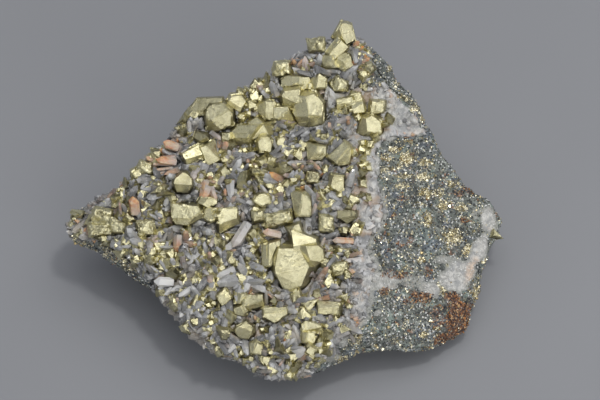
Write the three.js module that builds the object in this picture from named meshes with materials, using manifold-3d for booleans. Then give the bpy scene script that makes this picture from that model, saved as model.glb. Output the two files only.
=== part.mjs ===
// Chalcopyrite on quartz: a hand-sized piece of sulphide ore, broken out of a vein.
//
// The host rock carries a crust of grown-together quartz crystals over its left and middle, and the
// brassy chalcopyrite crystals sit in that crust. The right side is the bare, broken host rock. It
// rests on a flat broken face under its middle. Every crystal is its own solid, seated in a pocket of
// its own shape, and crystals that grew through each other are one solid.
//
// Millimetres. The pieces are worked out on the show face, the plane that faces a viewer who looks
// down on the specimen: x runs across it, y up it and z out of it, towards the viewer. The group that
// holds them turns the show face into the part's own frame, with +Z up and the origin in the resting
// face.
import * as THREE from "three";
import { ConvexGeometry } from "three/addons/geometries/ConvexGeometry.js";
import { ImprovedNoise } from "three/addons/math/ImprovedNoise.js";
import { mergeVertices } from "three/addons/utils/BufferGeometryUtils.js";
import Module from "manifold-3d";

const wasm = await Module();
wasm.setup();

// ---- Driving dimensions ----

const SHOW_ELEVATION = 55; // degrees above the table from which the show face is seen square on
const FACE_HEIGHT = 30; // height of the show face's centre above the table
const GAP = 0.3; // clearance between neighbouring solids
const FACE_FALL = 0.36; // how far the crust falls back for each mm up the show face
const LEFT_CURL = 5; // how far the left tip falls back
const CRUST_THICKNESS = 4.5;
const BREAK_STEP = 0.8; // drop from the crust's edge to the broken rock
const BREAK_FALL = 0.42; // how steeply the broken rock falls away from the crust
const HEIGHT_LIMIT = 40; // reach of the cutting blocks in front of and behind the show face
const ROCK_GRID = 4.3; // width of the broken rock's facets
const CRUST_GRID = 4.5; // width of the crust's facets
const UNDERSIDE_GRID = 8; // width of the facets where the crust and the rock meet
const SMOOTHING = 0.1; // facets flatter than this run together

// Outline of the rock on the show face, clockwise from the left tip.
const ROCK_OUTLINE = [
  [-60, -7.5], [-58, -3.5], [-52.5, -0.5], [-48, 1.5], [-44.5, 4.5], [-41.5, 8], [-38.5, 11.5],
  [-34.5, 15], [-31.5, 18], [-28, 22.5], [-24.5, 26.5], [-17, 27.5], [-12.5, 30], [-8.5, 32],
  [-4, 35.5], [0, 38.5], [5, 40.5], [10, 43.5], [15, 44.5], [20, 44.5], [24.5, 41.5], [29, 37.5],
  [30.5, 33], [35, 29.5], [38.5, 21.5], [43.5, 12.5], [49.5, 4], [56, 0], [59.8, -5.5], [59, -9.5],
  [54.8, -18], [54, -25], [49.8, -36], [43, -40.3], [34.5, -42], [26, -41], [19.8, -42.2],
  [12.5, -45.5], [5.5, -47.8], [-3.5, -48.3], [-8.5, -47], [-11, -44.2], [-17.5, -42.3],
  [-25, -38], [-30.5, -31], [-35.5, -25], [-42, -22], [-48.5, -17.2], [-52.5, -14], [-56.8, -12.3],
  [-59.5, -11],
];

// Outline of the quartz crust: the rock's own left edge, then down the break on the right.
const CRUST_OUTLINE = [
  [-61, -8.6], [-61, -5], [-58, -2.5], [-52, 1], [-48, 3], [-42, 9.5], [-35, 16.5], [-28.5, 24],
  [-25, 28], [-17, 29], [-9, 33.5], [-4, 37.5], [4, 42], [10, 45.5], [16, 46.5], [21.5, 44.2],
  [23.5, 40], [26, 35.5], [28.7, 31.5], [32, 28.5], [36.5, 25], [40.5, 19.5], [34.5, 17.6],
  [28, 17.4], [24.8, 14.5], [24.3, 9], [25.7, 2.8], [26.8, -3.6], [25.7, -7.2], [22.9, -10.2],
  [22, -14], [24.5, -18.6], [23, -24], [22.4, -28], [21.5, -32], [18.2, -35], [14.5, -38],
  [12, -41], [9, -45], [5, -49.5], [-4, -50], [-10, -48.5], [-18, -44], [-26, -39.5],
  [-32, -31.5], [-36, -25.5], [-38, -20.5], [-42, -17.5], [-47, -14], [-52, -11], [-57, -9.6],
];

// ---- Crystal habits and seats ----

// The chalcopyrite crystals, face by face: node, place across and up the show face, and for each
// face the way it looks on the show face, how far it slopes from it (0 faces the viewer, 90 is square
// to the show face) and its distance from the crystal's centre, in degrees and mm. A node that appears
// more than once is one solid of crystals grown through each other.
const CARVED = [
  ["great_lower_crystal", 1.3, -19.4, [
    [84, 28, 4.3], [-50, 15, 4.85], [-85, 25, 5.2], [-25, 66, 5.5], [-59, 72, 5.85], [-153, 82, 4.6],
    [180, 80, 5.0], [152, 60, 5.9], [90, 70, 6.3], [40, 66, 5.8],
  ]],
  ["great_lower_crystal", 7.0, -15.0, [
    [10, 16, 3.6], [200, 38, 3.6], [-80, 40, 3.9], [5, 80, 3.7], [90, 80, 3.0], [50, 78, 3.6],
    [-50, 78, 3.6],
  ]],
  ["great_lower_crystal", 5.2, -11.6, [
    [75, 20, 3.0], [-60, 26, 3.2], [10, 78, 3.6], [70, 78, 2.4], [185, 80, 3.8], [-85, 80, 3.0],
  ]],
  ["great_lower_crystal", 2.5, -8.6, [
    [-30, 12, 2.5], [150, 42, 2.6], [20, 80, 2.1], [108, 78, 2.1], [200, 78, 2.0], [-75, 80, 3.0],
  ]],
  ["great_upper_crystal", 6.0, 24.9, [
    [20, 24, 4.6], [182, 30, 4.3], [-118, 50, 4.3], [-72, 50, 4.4], [0, 80, 4.6], [38, 75, 4.9],
    [95, 70, 5.2], [165, 80, 4.3], [-150, 80, 4.3], [-85, 80, 5.4],
  ]],
  ["great_upper_crystal", 1.2, 28.6, [
    [130, 14, 3.0], [-130, 40, 3.0], [100, 72, 2.5], [150, 75, 2.8], [200, 76, 2.7], [-80, 80, 2.6],
    [0, 80, 3.0],
  ]],
  ["great_upper_crystal", -1.0, 24.2, [
    [150, 15, 2.0], [-60, 42, 2.0], [20, 80, 2.3], [95, 75, 2.0], [180, 78, 2.4], [-95, 80, 1.9],
  ]],
  ["summit_crystal", 16.5, 46.1, [
    [10, 22, 2.5], [205, 52, 2.4], [15, 85, 2.4], [75, 78, 3.3], [-60, 80, 2.9], [150, 80, 2.8],
    [-130, 75, 2.6],
  ]],
  ["summit_ridge_crystal", 14.2, 41.9, [
    [-35, 15, 1.9], [140, 50, 1.9], [-40, 72, 2.0], [50, 75, 2.9], [230, 75, 2.9], [140, 85, 2.1],
  ]],
  ["fan_crystal", 16.3, 38.3, [
    [10, 20, 2.2], [-150, 35, 2.2], [95, 35, 2.2], [10, 80, 2.1], [70, 75, 2.5], [150, 78, 2.6],
    [-60, 75, 2.2], [-125, 78, 2.5],
  ]],
  ["fan_crystal", 12.3, 38.3, [
    [-110, 26, 1.7], [140, 35, 1.8], [30, 45, 2.0], [0, 80, 2.6], [100, 78, 2.0], [185, 80, 2.3],
    [-85, 78, 1.9],
  ]],
  ["crest_crystal", 8.8, 43.6, [
    [20, 25, 1.8], [170, 35, 1.8], [0, 80, 2.1], [95, 75, 1.4], [195, 80, 2.6], [-90, 70, 2.3],
  ]],
  ["upper_plate_crystal", 2.2, 32.4, [
    [155, 22, 2.0], [-95, 24, 2.1], [15, 24, 3.0], [180, 78, 3.6], [128, 78, 3.0], [88, 80, 2.1],
    [-100, 80, 2.0], [5, 80, 4.6], [-35, 78, 3.6],
  ]],
  ["upper_plate_crystal", 9.3, 32.8, [
    [10, 16, 2.0], [165, 38, 2.1], [-70, 45, 2.5], [0, 80, 1.9], [55, 78, 2.2], [130, 80, 2.3],
    [-85, 80, 2.1],
  ]],
  ["upper_edge_crystal", -4.9, 25.0, [
    [190, 36, 2.2], [-15, 20, 1.9], [70, 50, 3.0], [0, 80, 1.9], [65, 78, 2.9], [115, 76, 2.8],
    [-80, 76, 2.7], [-140, 70, 2.5],
  ]],
  ["twin_crystals", -7.9, 19.6, [
    [-45, 15, 2.6], [110, 40, 2.9], [20, 60, 3.0], [-75, 75, 2.6], [-140, 75, 3.0], [180, 78, 2.8],
    [60, 78, 2.9], [120, 78, 3.2],
  ]],
  ["twin_crystals", -12.0, 18.4, [
    [165, 24, 2.4], [-115, 44, 2.6], [-40, 60, 3.8], [185, 78, 3.3], [130, 78, 2.7], [95, 80, 2.7],
    [-80, 80, 3.2], [-130, 78, 3.2],
  ]],
  ["block_crystal", -6.0, 15.6, [
    [-30, 12, 2.0], [100, 55, 2.5], [-92, 75, 2.4], [195, 75, 2.2], [-5, 75, 2.2], [150, 70, 2.4],
    [45, 75, 2.4],
  ]],
  ["round_crystal", -18.5, 23.3, [
    [125, 20, 3.3], [-62, 20, 3.3], [-120, 48, 3.8], [-20, 60, 4.2], [5, 80, 3.9], [50, 75, 3.7],
    [95, 78, 3.5], [140, 76, 4.0], [185, 80, 3.9], [-70, 78, 3.7],
  ]],
  ["rim_plate_crystal", -21.4, 26.4, [
    [125, 24, 1.7], [-80, 30, 1.9], [92, 80, 1.9], [148, 78, 3.7], [10, 80, 4.2], [-140, 75, 4.6],
    [-85, 80, 2.6],
  ]],
  ["pale_rim_crystal", -13.6, 27.2, [
    [10, 12, 2.0], [-110, 32, 2.3], [40, 75, 2.2], [95, 75, 2.1], [150, 75, 2.6], [-120, 72, 2.3],
    [-30, 72, 2.4],
  ]],
  ["fin_crystals", -21.3, 12.8, [
    [-70, 18, 1.8], [28, 48, 2.0], [205, 74, 2.0], [25, 80, 2.7], [112, 75, 3.0], [-65, 75, 3.0],
  ]],
  ["fin_crystals", -26.0, 12.4, [
    [60, 20, 1.5], [-60, 48, 1.6], [30, 75, 3.0], [208, 75, 2.7], [118, 75, 1.8], [-62, 80, 1.9],
  ]],
  ["smooth_crystal", -28.3, 5.0, [
    [60, 12, 2.6], [-85, 35, 2.7], [0, 80, 2.7], [45, 80, 2.6], [88, 80, 2.9], [128, 78, 2.6],
    [155, 78, 2.9], [205, 78, 3.1], [-45, 78, 3.0], [-95, 80, 3.1],
  ]],
  ["olive_crystal", -23.4, 17.4, [
    [140, 22, 1.5], [-70, 45, 1.7], [20, 72, 1.9], [80, 75, 1.3], [160, 75, 2.0], [-130, 72, 1.6],
  ]],
  ["left_rim_crystal", -38.9, 8.8, [
    [30, 18, 1.7], [-110, 38, 1.8], [10, 78, 1.8], [75, 78, 1.7], [150, 78, 2.1], [-90, 78, 1.6],
    [-150, 78, 2.1],
  ]],
  ["pale_crystal", 25.2, 25.8, [
    [0, 10, 1.7], [-8, 75, 2.1], [82, 75, 1.8], [175, 75, 1.9], [-80, 75, 1.8],
  ]],
  ["bow_crystals", 16.4, 27.2, [
    [100, 26, 1.6], [-80, 34, 1.7], [15, 80, 2.4], [100, 78, 1.3], [185, 78, 2.6], [-75, 80, 1.4],
  ]],
  ["bow_crystals", 19.5, 28.2, [
    [20, 18, 1.8], [190, 38, 1.8], [15, 78, 1.7], [80, 78, 1.8], [150, 78, 2.2], [-70, 78, 1.9],
  ]],
  ["bow_crystals", 20.0, 25.6, [
    [-40, 16, 1.8], [120, 36, 1.8], [10, 78, 1.9], [100, 78, 1.9], [195, 78, 1.9], [-80, 78, 1.5],
  ]],
  ["slab_crystal", 23.6, 21.0, [
    [-20, 12, 2.7], [190, 50, 2.9], [-92, 60, 3.0], [5, 75, 2.9], [50, 72, 2.7], [110, 72, 2.9],
    [165, 78, 3.0],
  ]],
  ["lance_crystal", 15.4, 12.5, [
    [140, 30, 1.7], [-42, 35, 1.8], [50, 75, 3.3], [225, 75, 3.0], [-8, 80, 2.3], [-80, 80, 2.7],
    [135, 80, 2.3],
  ]],
  ["saddle_crystal", 8.8, 13.3, [
    [18, 25, 1.9], [150, 35, 1.9], [-70, 32, 1.9], [0, 80, 2.4], [80, 75, 2.0], [180, 80, 2.9],
    [-90, 80, 2.3], [-45, 80, 2.3],
  ]],
  ["lantern_crystal", 14.3, 4.6, [
    [0, 12, 1.9], [0, 80, 1.9], [80, 75, 2.2], [165, 70, 2.2], [-115, 65, 2.3], [-65, 75, 2.7],
  ]],
  ["tall_crystal", 4.4, -1.4, [
    [-12, 20, 2.2], [172, 34, 2.2], [65, 62, 3.4], [92, 76, 3.8], [-88, 80, 3.2], [0, 80, 2.5],
    [188, 80, 2.4], [35, 74, 3.0],
  ]],
  ["middle_crystal", -6.8, 0.1, [
    [0, 10, 1.8], [-35, 42, 2.5], [5, 76, 2.6], [50, 76, 2.1], [98, 76, 1.6], [150, 75, 2.1],
    [198, 75, 2.4], [-118, 75, 1.8], [-70, 72, 2.0],
  ]],
  ["broken_crystals", -7.5, -4.2, [
    [-50, 16, 2.0], [130, 36, 2.0], [15, 78, 1.8], [100, 78, 1.5], [190, 78, 1.9], [-80, 78, 1.8],
  ]],
  ["broken_crystals", -2.4, -5.2, [
    [100, 18, 2.0], [-75, 34, 2.1], [8, 76, 3.9], [100, 78, 1.9], [190, 76, 3.6], [-76, 76, 1.9],
  ]],
  ["roof_crystal", -15.9, -4.9, [
    [100, 22, 2.3], [-70, 46, 2.5], [10, 78, 2.9], [96, 80, 2.6], [-67, 78, 2.8], [190, 78, 3.2],
    [138, 75, 3.0],
  ]],
  ["roof_crystal", -20.7, -3.9, [
    [200, 14, 1.9], [20, 40, 2.0], [60, 78, 2.0], [115, 78, 1.9], [180, 78, 2.0], [-115, 78, 2.1],
    [-55, 78, 2.3],
  ]],
  ["wing_crystal", -21.7, -0.6, [
    [0, 15, 1.7], [120, 30, 1.8], [0, 78, 2.8], [75, 74, 1.5], [145, 74, 2.4], [195, 76, 2.7],
    [-115, 74, 1.7], [-55, 75, 2.0],
  ]],
  ["great_left_crystal", -26.9, -4.3, [
    [125, 15, 2.8], [-52, 46, 3.2], [-112, 24, 3.2], [160, 50, 4.6], [88, 78, 3.2], [30, 80, 4.1],
    [-15, 80, 4.1], [-60, 78, 2.7], [-98, 80, 3.0], [-142, 80, 4.2], [180, 80, 4.7],
  ]],
  ["tip_crystals", -46.3, -7.5, [
    [190, 14, 2.0], [30, 34, 2.1], [0, 78, 2.2], [70, 78, 1.7], [135, 78, 1.9], [-95, 78, 1.6],
    [-30, 78, 2.0], [-150, 80, 2.0],
  ]],
  ["tip_crystals", -51.0, -4.4, [
    [60, 25, 2.0], [-120, 30, 2.0], [0, 80, 3.0], [80, 75, 2.0], [150, 75, 2.6], [-90, 78, 2.2],
  ]],
  ["tip_crystals", -51.2, -8.2, [
    [-40, 16, 1.9], [120, 34, 2.0], [10, 80, 3.0], [90, 78, 1.6], [185, 78, 3.2], [-85, 78, 1.5],
  ]],
  ["side_pair_crystals", -4.2, -15.0, [
    [180, 33, 2.0], [0, 20, 1.9], [180, 80, 2.3], [-5, 80, 2.4], [100, 75, 3.2], [-80, 80, 3.2],
  ]],
  ["lower_left_crystal", -17.0, -26.5, [
    [-100, 18, 1.8], [50, 30, 1.9], [35, 76, 1.7], [130, 75, 1.8], [215, 75, 1.9], [-50, 75, 1.9],
  ]],
  ["hollow_crystals", -8.8, -27.7, [
    [105, 30, 2.1], [-72, 40, 2.3], [8, 76, 2.8], [95, 80, 1.9], [190, 78, 3.0], [-76, 78, 2.2],
  ]],
  ["hollow_crystals", -12.5, -27.0, [
    [170, 30, 1.9], [-20, 30, 2.0], [0, 78, 1.9], [85, 78, 1.7], [180, 78, 1.8], [-100, 78, 1.8],
  ]],
  ["hollow_crystals", -12.4, -30.2, [
    [-150, 16, 1.7], [40, 36, 1.8], [40, 78, 1.7], [110, 78, 1.4], [180, 78, 1.8], [-110, 78, 1.6],
    [-40, 78, 1.6],
  ]],
  ["dark_crystal", -11.4, -35.5, [
    [-100, 25, 2.2], [70, 20, 2.5], [5, 78, 2.6], [60, 78, 2.3], [115, 78, 2.0], [165, 78, 2.6],
    [-145, 78, 2.5], [-95, 78, 2.3], [-45, 78, 2.5],
  ]],
  ["long_crystal", -2.9, -31.2, [
    [92, 36, 1.8], [-80, 20, 1.8], [5, 76, 3.3], [180, 76, 3.5], [92, 80, 2.0], [-55, 76, 2.0],
    [-118, 76, 2.4],
  ]],
  ["brick_crystal", 11.8, -29.5, [
    [92, 36, 1.5], [-85, 24, 1.8], [-8, 66, 3.0], [182, 80, 3.1], [85, 80, 1.7], [-92, 80, 1.9],
  ]],
  ["foot_crystals", 6.9, -34.9, [
    [115, 22, 2.0], [-85, 40, 2.0], [10, 80, 2.9], [75, 80, 1.6], [130, 80, 2.4], [190, 80, 2.8],
    [-85, 80, 1.7],
  ]],
  ["foot_crystals", 6.1, -37.6, [
    [-60, 18, 2.2], [185, 34, 2.2], [0, 80, 2.1], [90, 80, 1.8], [180, 80, 1.9], [-100, 80, 1.8],
    [-50, 80, 2.0],
  ]],
  ["toe_crystals", -8.0, -40.3, [
    [-30, 20, 1.7], [165, 34, 1.7], [0, 80, 1.6], [55, 78, 1.6], [115, 78, 1.9], [185, 80, 1.7],
    [-90, 80, 1.7],
  ]],
  ["star_crystal", 7.5, 6.2, [
    [10, 14, 1.8], [160, 34, 1.9], [0, 80, 1.6], [85, 80, 1.6], [180, 80, 1.7], [-92, 80, 1.5],
  ]],
  ["mixed_crystal", 11.2, -6.3, [
    [30, 18, 2.0], [-60, 32, 2.2], [170, 34, 2.2], [0, 80, 1.9], [80, 80, 2.1], [180, 80, 2.2],
    [-95, 80, 2.5],
  ]],
  ["dull_crystal", 16.6, -4.5, [
    [-90, 28, 1.8], [110, 22, 1.8], [5, 76, 2.8], [88, 80, 1.6], [180, 76, 2.6], [-120, 78, 1.7],
    [-60, 78, 1.8],
  ]],
  ["east_crystal", 14.9, -19.0, [
    [60, 20, 2.1], [-60, 32, 2.1], [20, 78, 2.2], [100, 78, 1.8], [190, 78, 2.4], [-85, 78, 1.8],
  ]],
  ["high_crystal", 14.8, 32.0, [
    [10, 20, 2.1], [175, 30, 2.1], [-60, 45, 2.4], [0, 78, 2.4], [60, 78, 2.0], [130, 78, 2.4],
    [200, 78, 2.3], [-90, 78, 1.9],
  ]],
  ["tip_notch_crystal", -38.6, -8.0, [
    [20, 20, 2.0], [-100, 35, 2.0], [140, 35, 2.1], [0, 78, 2.3], [90, 78, 2.2], [190, 78, 2.4],
    [-80, 78, 1.9],
  ]],
  ["left_crest_crystal", -1.0, 36.6, [
    [30, 22, 2.2], [-100, 30, 2.2], [10, 78, 2.2], [90, 78, 1.9], [170, 78, 2.4], [-80, 78, 2.0],
  ]],
];

// Quartz crystals that stand clear of the crust: node, place of the root, width, length, the way the
// crystal points and how far it stands up from the show face.
const QUARTZ_PRISMS = [
  ["long_quartz_crystal", -10.6, -6.6, 2.8, 8.2, 238, 22],
  ["pink_quartz_crystal", -29.6, -10.0, 2.3, 5.4, 268, 24],
  ["rusty_quartz_crystal", -41.6, -3.6, 2.8, 5.6, 96, 32],
  ["orange_spray_crystal", -30.6, 10.4, 2.0, 5.8, 172, 24],
  ["upper_spray_crystal", -30.2, 14.6, 2.2, 5.0, 160, 34],
  ["band_quartz_crystal", 18.4, -11.4, 1.9, 6.0, 176, 16],
  ["tan_quartz_crystal", -1.6, -9.8, 2.0, 5.4, 166, 20],
  ["white_quartz_crystal", -31.0, -22.6, 2.6, 5.6, 176, 14],
];

const LOOSE_QUARTZ_COUNT = 24; // small quartz crystals fused into the crust
const LOOSE_QUARTZ_SPACING = 5.6;
const LOOSE_QUARTZ_WIDTH = [1.9, 3.3];
const LOOSE_QUARTZ_LENGTH = [1.2, 2.1]; // times its width
const LOOSE_QUARTZ_ROOT = 0.8; // depth of the root in the crust
const LOOSE_QUARTZ_MARGIN = 3.2; // clearance to the crust's and the rock's outline
const LOOSE_QUARTZ_LEAN = 62; // the most that one leans from square to the show face

// How far the crystals stand out of the crust, and their own proportions.
const CARVED_LIFT = 1.6; // centre above the crust
const CARVED_SINK = 0.4; // less this share of the reach of its front faces
const CARVED_ROOT = 0.85; // depth of the root below the centre, as a share of that reach
const RHOMB_SLOPE = 52; // quartz: tilt of the end faces from the long axis' own end

// ---- Small helpers ----

const noise = new ImprovedNoise();

/** Random numbers from 0 to 1 that come out the same on every run. */
function randomNumbers(seed) {
  let state = seed;
  return () => {
    state = (state + 0x6d2b79f5) | 0;
    let t = Math.imul(state ^ (state >>> 15), 1 | state);
    t = (t + Math.imul(t ^ (t >>> 7), 61 | t)) ^ t;
    return ((t ^ (t >>> 14)) >>> 0) / 4294967296;
  };
}

const radians = THREE.MathUtils.degToRad;
const mix = THREE.MathUtils.lerp;

/** Unit vector that looks `direction` degrees round the show face and slopes away from the viewer. */
function facing(direction, slope) {
  const [a, s] = [radians(direction), radians(slope)];
  return new THREE.Vector3(Math.sin(s) * Math.cos(a), Math.sin(s) * Math.sin(a), Math.cos(s));
}

/** Distance from a point to an outline, positive inside it. */
function depthInside(outline, x, y) {
  let nearest = Infinity;
  let inside = false;
  outline.forEach(([ax, ay], i) => {
    const [bx, by] = outline[(i + 1) % outline.length];
    const [dx, dy] = [bx - ax, by - ay];
    const along = ((x - ax) * dx + (y - ay) * dy) / (dx * dx + dy * dy);
    const t = THREE.MathUtils.clamp(along, 0, 1);
    nearest = Math.min(nearest, Math.hypot(x - ax - t * dx, y - ay - t * dy));
    if (ay > y !== by > y && x < ax + ((y - ay) / dy) * dx) inside = !inside;
  });
  return inside ? nearest : -nearest;
}

/** A manifold solid of a closed three.js geometry. */
function solidOf(geometry) {
  const bare = new THREE.BufferGeometry();
  bare.setAttribute("position", geometry.getAttribute("position"));
  if (geometry.index) bare.setIndex(geometry.index);
  const merged = mergeVertices(bare, 1e-4);
  return new wasm.Manifold(
    new wasm.Mesh({
      numProp: 3,
      vertProperties: new Float32Array(merged.attributes.position.array),
      triVerts: new Uint32Array(merged.index.array),
    }),
  );
}

/** The largest body of a solid, so that a cut leaves no crumbs. */
function mainBody(solid) {
  return solid.decompose().reduce((a, b) => (a.volume() > b.volume() ? a : b));
}

/** A named mesh of a solid, with its own origin at `origin`. */
function meshOf(name, solid, material, origin = new THREE.Vector3()) {
  const made = solid.getMesh();
  const points = new Float32Array(made.numVert * 3);
  for (let i = 0; i < made.numVert; i++)
    points.set(made.vertProperties.subarray(i * made.numProp, i * made.numProp + 3), i * 3);
  const geometry = new THREE.BufferGeometry();
  geometry.setAttribute("position", new THREE.BufferAttribute(points, 3));
  geometry.setIndex(new THREE.BufferAttribute(made.triVerts, 1));
  geometry.translate(-origin.x, -origin.y, -origin.z);
  geometry.computeVertexNormals();
  const mesh = new THREE.Mesh(geometry, material);
  mesh.name = name;
  mesh.position.copy(origin);
  return mesh;
}

// ---- The shape of the rock and of the crust, as distance out of the show face ----

/** The crust's general surface, before its lumps. */
function crustLevel(x, y) {
  const curl = LEFT_CURL * Math.max(0, -(x + 12) / 48) ** 2;
  const swell = 1.6 * noise.noise(x / 22 + 4, y / 22, 0.5) + 0.8 * noise.noise(x / 9, y / 9, 7.5);
  return -FACE_FALL * y - curl + swell;
}

/** How far the surface drops towards the rock's rim: steeply in front, less at the back. */
function rimDrop(x, y) {
  const depth = Math.max(0, depthInside(ROCK_OUTLINE, x, y));
  const front = THREE.MathUtils.smoothstep(-y - 0.35 * x, 2, 16);
  const reach = mix(2.5, 4, front);
  return Math.max(0, reach - depth) * mix(0.5, 1.25, front);
}

function crustTop(x, y) {
  const lumps = 1.2 * noise.noise(x / 4.4, y / 4.4, 2.5);
  return crustLevel(x, y) + lumps - 0.6 * rimDrop(x, y);
}

function crustBottom(x, y) {
  return crustLevel(x, y) - CRUST_THICKNESS - 0.6 * rimDrop(x, y);
}

function brokenRockTop(x, y) {
  const fromCrust = Math.max(0, -depthInside(CRUST_OUTLINE, x, y));
  const ledges = 1.3 * noise.noise(x / 10, y / 7, 11.5) + 0.6 * noise.noise(x / 4, y / 4, 3.5);
  return crustLevel(x, y) - BREAK_STEP - BREAK_FALL * fromCrust + ledges - rimDrop(x, y);
}

/** A closed block over the whole show face, between two height functions, in steps of about `step`. */
function blockBetween(top, bottom, step) {
  const [halfWidth, halfHeight] = [66, 56];
  const columns = Math.round((2 * halfWidth) / step);
  const rows = Math.round((2 * halfHeight) / step);
  const random = randomNumbers(Math.round(step * 100));
  const points = [];
  const faces = [];
  const index = (level, i, j) => (level * (rows + 1) + j) * (columns + 1) + i;
  const spots = [];
  for (let j = 0; j <= rows; j++)
    for (let i = 0; i <= columns; i++) {
      const edge = i === 0 || j === 0 || i === columns || j === rows;
      const jitter = edge ? 0 : 0.5;
      spots.push([
        mix(-halfWidth, halfWidth, (i + (random() - 0.5) * jitter) / columns),
        mix(-halfHeight, halfHeight, (j + (random() - 0.5) * jitter) / rows),
      ]);
    }
  for (const level of [top, bottom]) for (const [x, y] of spots) points.push(x, y, level(x, y));
  const quad = (a, b, c, d) => faces.push(a, b, c, a, c, d);
  for (let j = 0; j < rows; j++)
    for (let i = 0; i < columns; i++) {
      const upper = [index(0, i, j), index(0, i + 1, j), index(0, i + 1, j + 1), index(0, i, j + 1)];
      const lower = [index(1, i, j), index(1, i, j + 1), index(1, i + 1, j + 1), index(1, i + 1, j)];
      if ((i + j) % 2) upper.push(upper.shift());
      quad(...upper);
      quad(...lower);
    }
  for (let i = 0; i < columns; i++) {
    quad(index(1, i, 0), index(1, i + 1, 0), index(0, i + 1, 0), index(0, i, 0));
    quad(index(0, i, rows), index(0, i + 1, rows), index(1, i + 1, rows), index(1, i, rows));
  }
  for (let j = 0; j < rows; j++) {
    quad(index(0, 0, j), index(0, 0, j + 1), index(1, 0, j + 1), index(1, 0, j));
    quad(index(1, columns, j), index(1, columns, j + 1), index(0, columns, j + 1), index(0, columns, j));
  }
  const geometry = new THREE.BufferGeometry();
  geometry.setAttribute("position", new THREE.BufferAttribute(new Float32Array(points), 3));
  geometry.setIndex(faces);
  return solidOf(geometry);
}

/** A straight-sided block that stands on an outline, grown outwards by `growth`. */
function blockOnOutline(outline, growth = 0) {
  const shape = new THREE.Shape(
    outline.map(([x, y], i) => {
      const [px, py] = outline[(i + outline.length - 1) % outline.length];
      const [nx, ny] = outline[(i + 1) % outline.length];
      const outwards = new THREE.Vector2(py - ny, nx - px).normalize();
      return new THREE.Vector2(x, y).addScaledVector(outwards, growth);
    }),
  );
  const geometry = new THREE.ExtrudeGeometry(shape, { depth: 2 * HEIGHT_LIMIT, bevelEnabled: false });
  return solidOf(geometry.translate(0, 0, -HEIGHT_LIMIT));
}

// ---- Host rock ----

const showToPart = new THREE.Matrix4()
  .makeTranslation(0, 0, FACE_HEIGHT)
  .multiply(new THREE.Matrix4().makeRotationX(radians(90 - SHOW_ELEVATION)));
const partToShow = showToPart.clone().invert();

/** The rough body under the show face: its outline in front, drawn in below to the resting face. */
function roughBody() {
  const middle = new THREE.Vector3(-1, 2, 0);
  const rings = [[], [], [], [], []];
  ROCK_OUTLINE.forEach(([x, y], i) => {
    const rim = new THREE.Vector3(x, y, brokenRockTop(x, y) - mix(2, 5, (y + 48) / 93));
    const rimInPart = rim.clone().applyMatrix4(showToPart);
    const out = rimInPart.clone().sub(middle).setZ(0);
    const back = THREE.MathUtils.smoothstep(out.y / out.length(), -0.5, 0.9);
    const share = mix(0.5, 0.84, back) + 0.1 * noise.noise(i / 3, 1.5, 0.5);
    const below = (height, reach) =>
      middle.clone().addScaledVector(out, reach).setZ(height * rimInPart.z).applyMatrix4(partToShow);
    const rough = 0.13 * noise.noise(i / 2.3, 4.5, 9.5);
    rings[0].push(new THREE.Vector3(x, y, HEIGHT_LIMIT));
    rings[1].push(rim);
    rings[2].push(below(0.66, mix(0.88, 1.0, back) + rough));
    rings[3].push(below(0.3, mix(0.7, 0.96, back) - rough));
    rings[4].push(below(0, share));
  });
  const count = ROCK_OUTLINE.length;
  const faces = [];
  for (let r = 0; r < rings.length - 1; r++)
    for (let i = 0; i < count; i++) {
      const next = (i + 1) % count;
      const [a, b, c, d] = [r * count + i, r * count + next, (r + 1) * count + next, (r + 1) * count + i];
      faces.push(a, b, c, a, c, d);
    }
  const flat = (ring) => ring.map((p) => new THREE.Vector2(p.x, p.y));
  const front = THREE.ShapeUtils.triangulateShape(flat(rings[0]), []);
  const foot = THREE.ShapeUtils.triangulateShape(flat(rings[4]), []);
  for (const [a, b, c] of front) faces.push(a, b, c);
  for (const [a, b, c] of foot) faces.push(...[c, b, a].map((k) => k + 4 * count));
  const geometry = new THREE.BufferGeometry().setFromPoints(rings.flat());
  geometry.setIndex(faces);
  return solidOf(geometry);
}

// ---- Crystals as bodies of flat faces ----

/** The solid that a set of planes encloses, each plane moved out by `growth`. */
function bodyOfPlanes(planes, growth = 0) {
  const grown = planes.map((p) => new THREE.Plane(p.normal, p.constant - growth));
  const corners = [];
  const meet = new THREE.Matrix3();
  const corner = new THREE.Vector3();
  for (let i = 0; i < grown.length; i++)
    for (let j = i + 1; j < grown.length; j++)
      for (let k = j + 1; k < grown.length; k++) {
        const [a, b, c] = [grown[i], grown[j], grown[k]];
        const [n, m, o] = [a.normal, b.normal, c.normal];
        meet.set(n.x, n.y, n.z, m.x, m.y, m.z, o.x, o.y, o.z);
        if (Math.abs(meet.determinant()) < 1e-4) continue;
        corner.set(-a.constant, -b.constant, -c.constant).applyMatrix3(meet.invert());
        if (grown.every((p) => p.distanceToPoint(corner) < 1e-4)) corners.push(corner.clone());
      }
  const separate = corners.filter((p, i) => !corners.slice(0, i).some((q) => q.distanceTo(p) < 0.02));
  return solidOf(new ConvexGeometry(separate));
}

/** A plane through `centre` + `normal` * `distance`, with its outside on the normal's side. */
function facePlane(normal, distance, centre) {
  const n = normal.clone().normalize();
  return new THREE.Plane(n, -distance - n.dot(centre));
}

/** Planes of a crystal given face by face, closed off below by its flat root. */
function carvedPlanes([, x, y, faces]) {
  const front = Math.max(...faces.map(([, slope, reach]) => (slope < 45 ? reach : 0)));
  const centre = new THREE.Vector3(x, y, crustTop(x, y) + CARVED_LIFT - CARVED_SINK * front);
  const planes = faces.map(([way, slope, reach]) => facePlane(facing(way, slope), reach, centre));
  planes.push(facePlane(new THREE.Vector3(0, 0, -1), CARVED_ROOT * front, centre));
  return { centre, planes };
}

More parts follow.
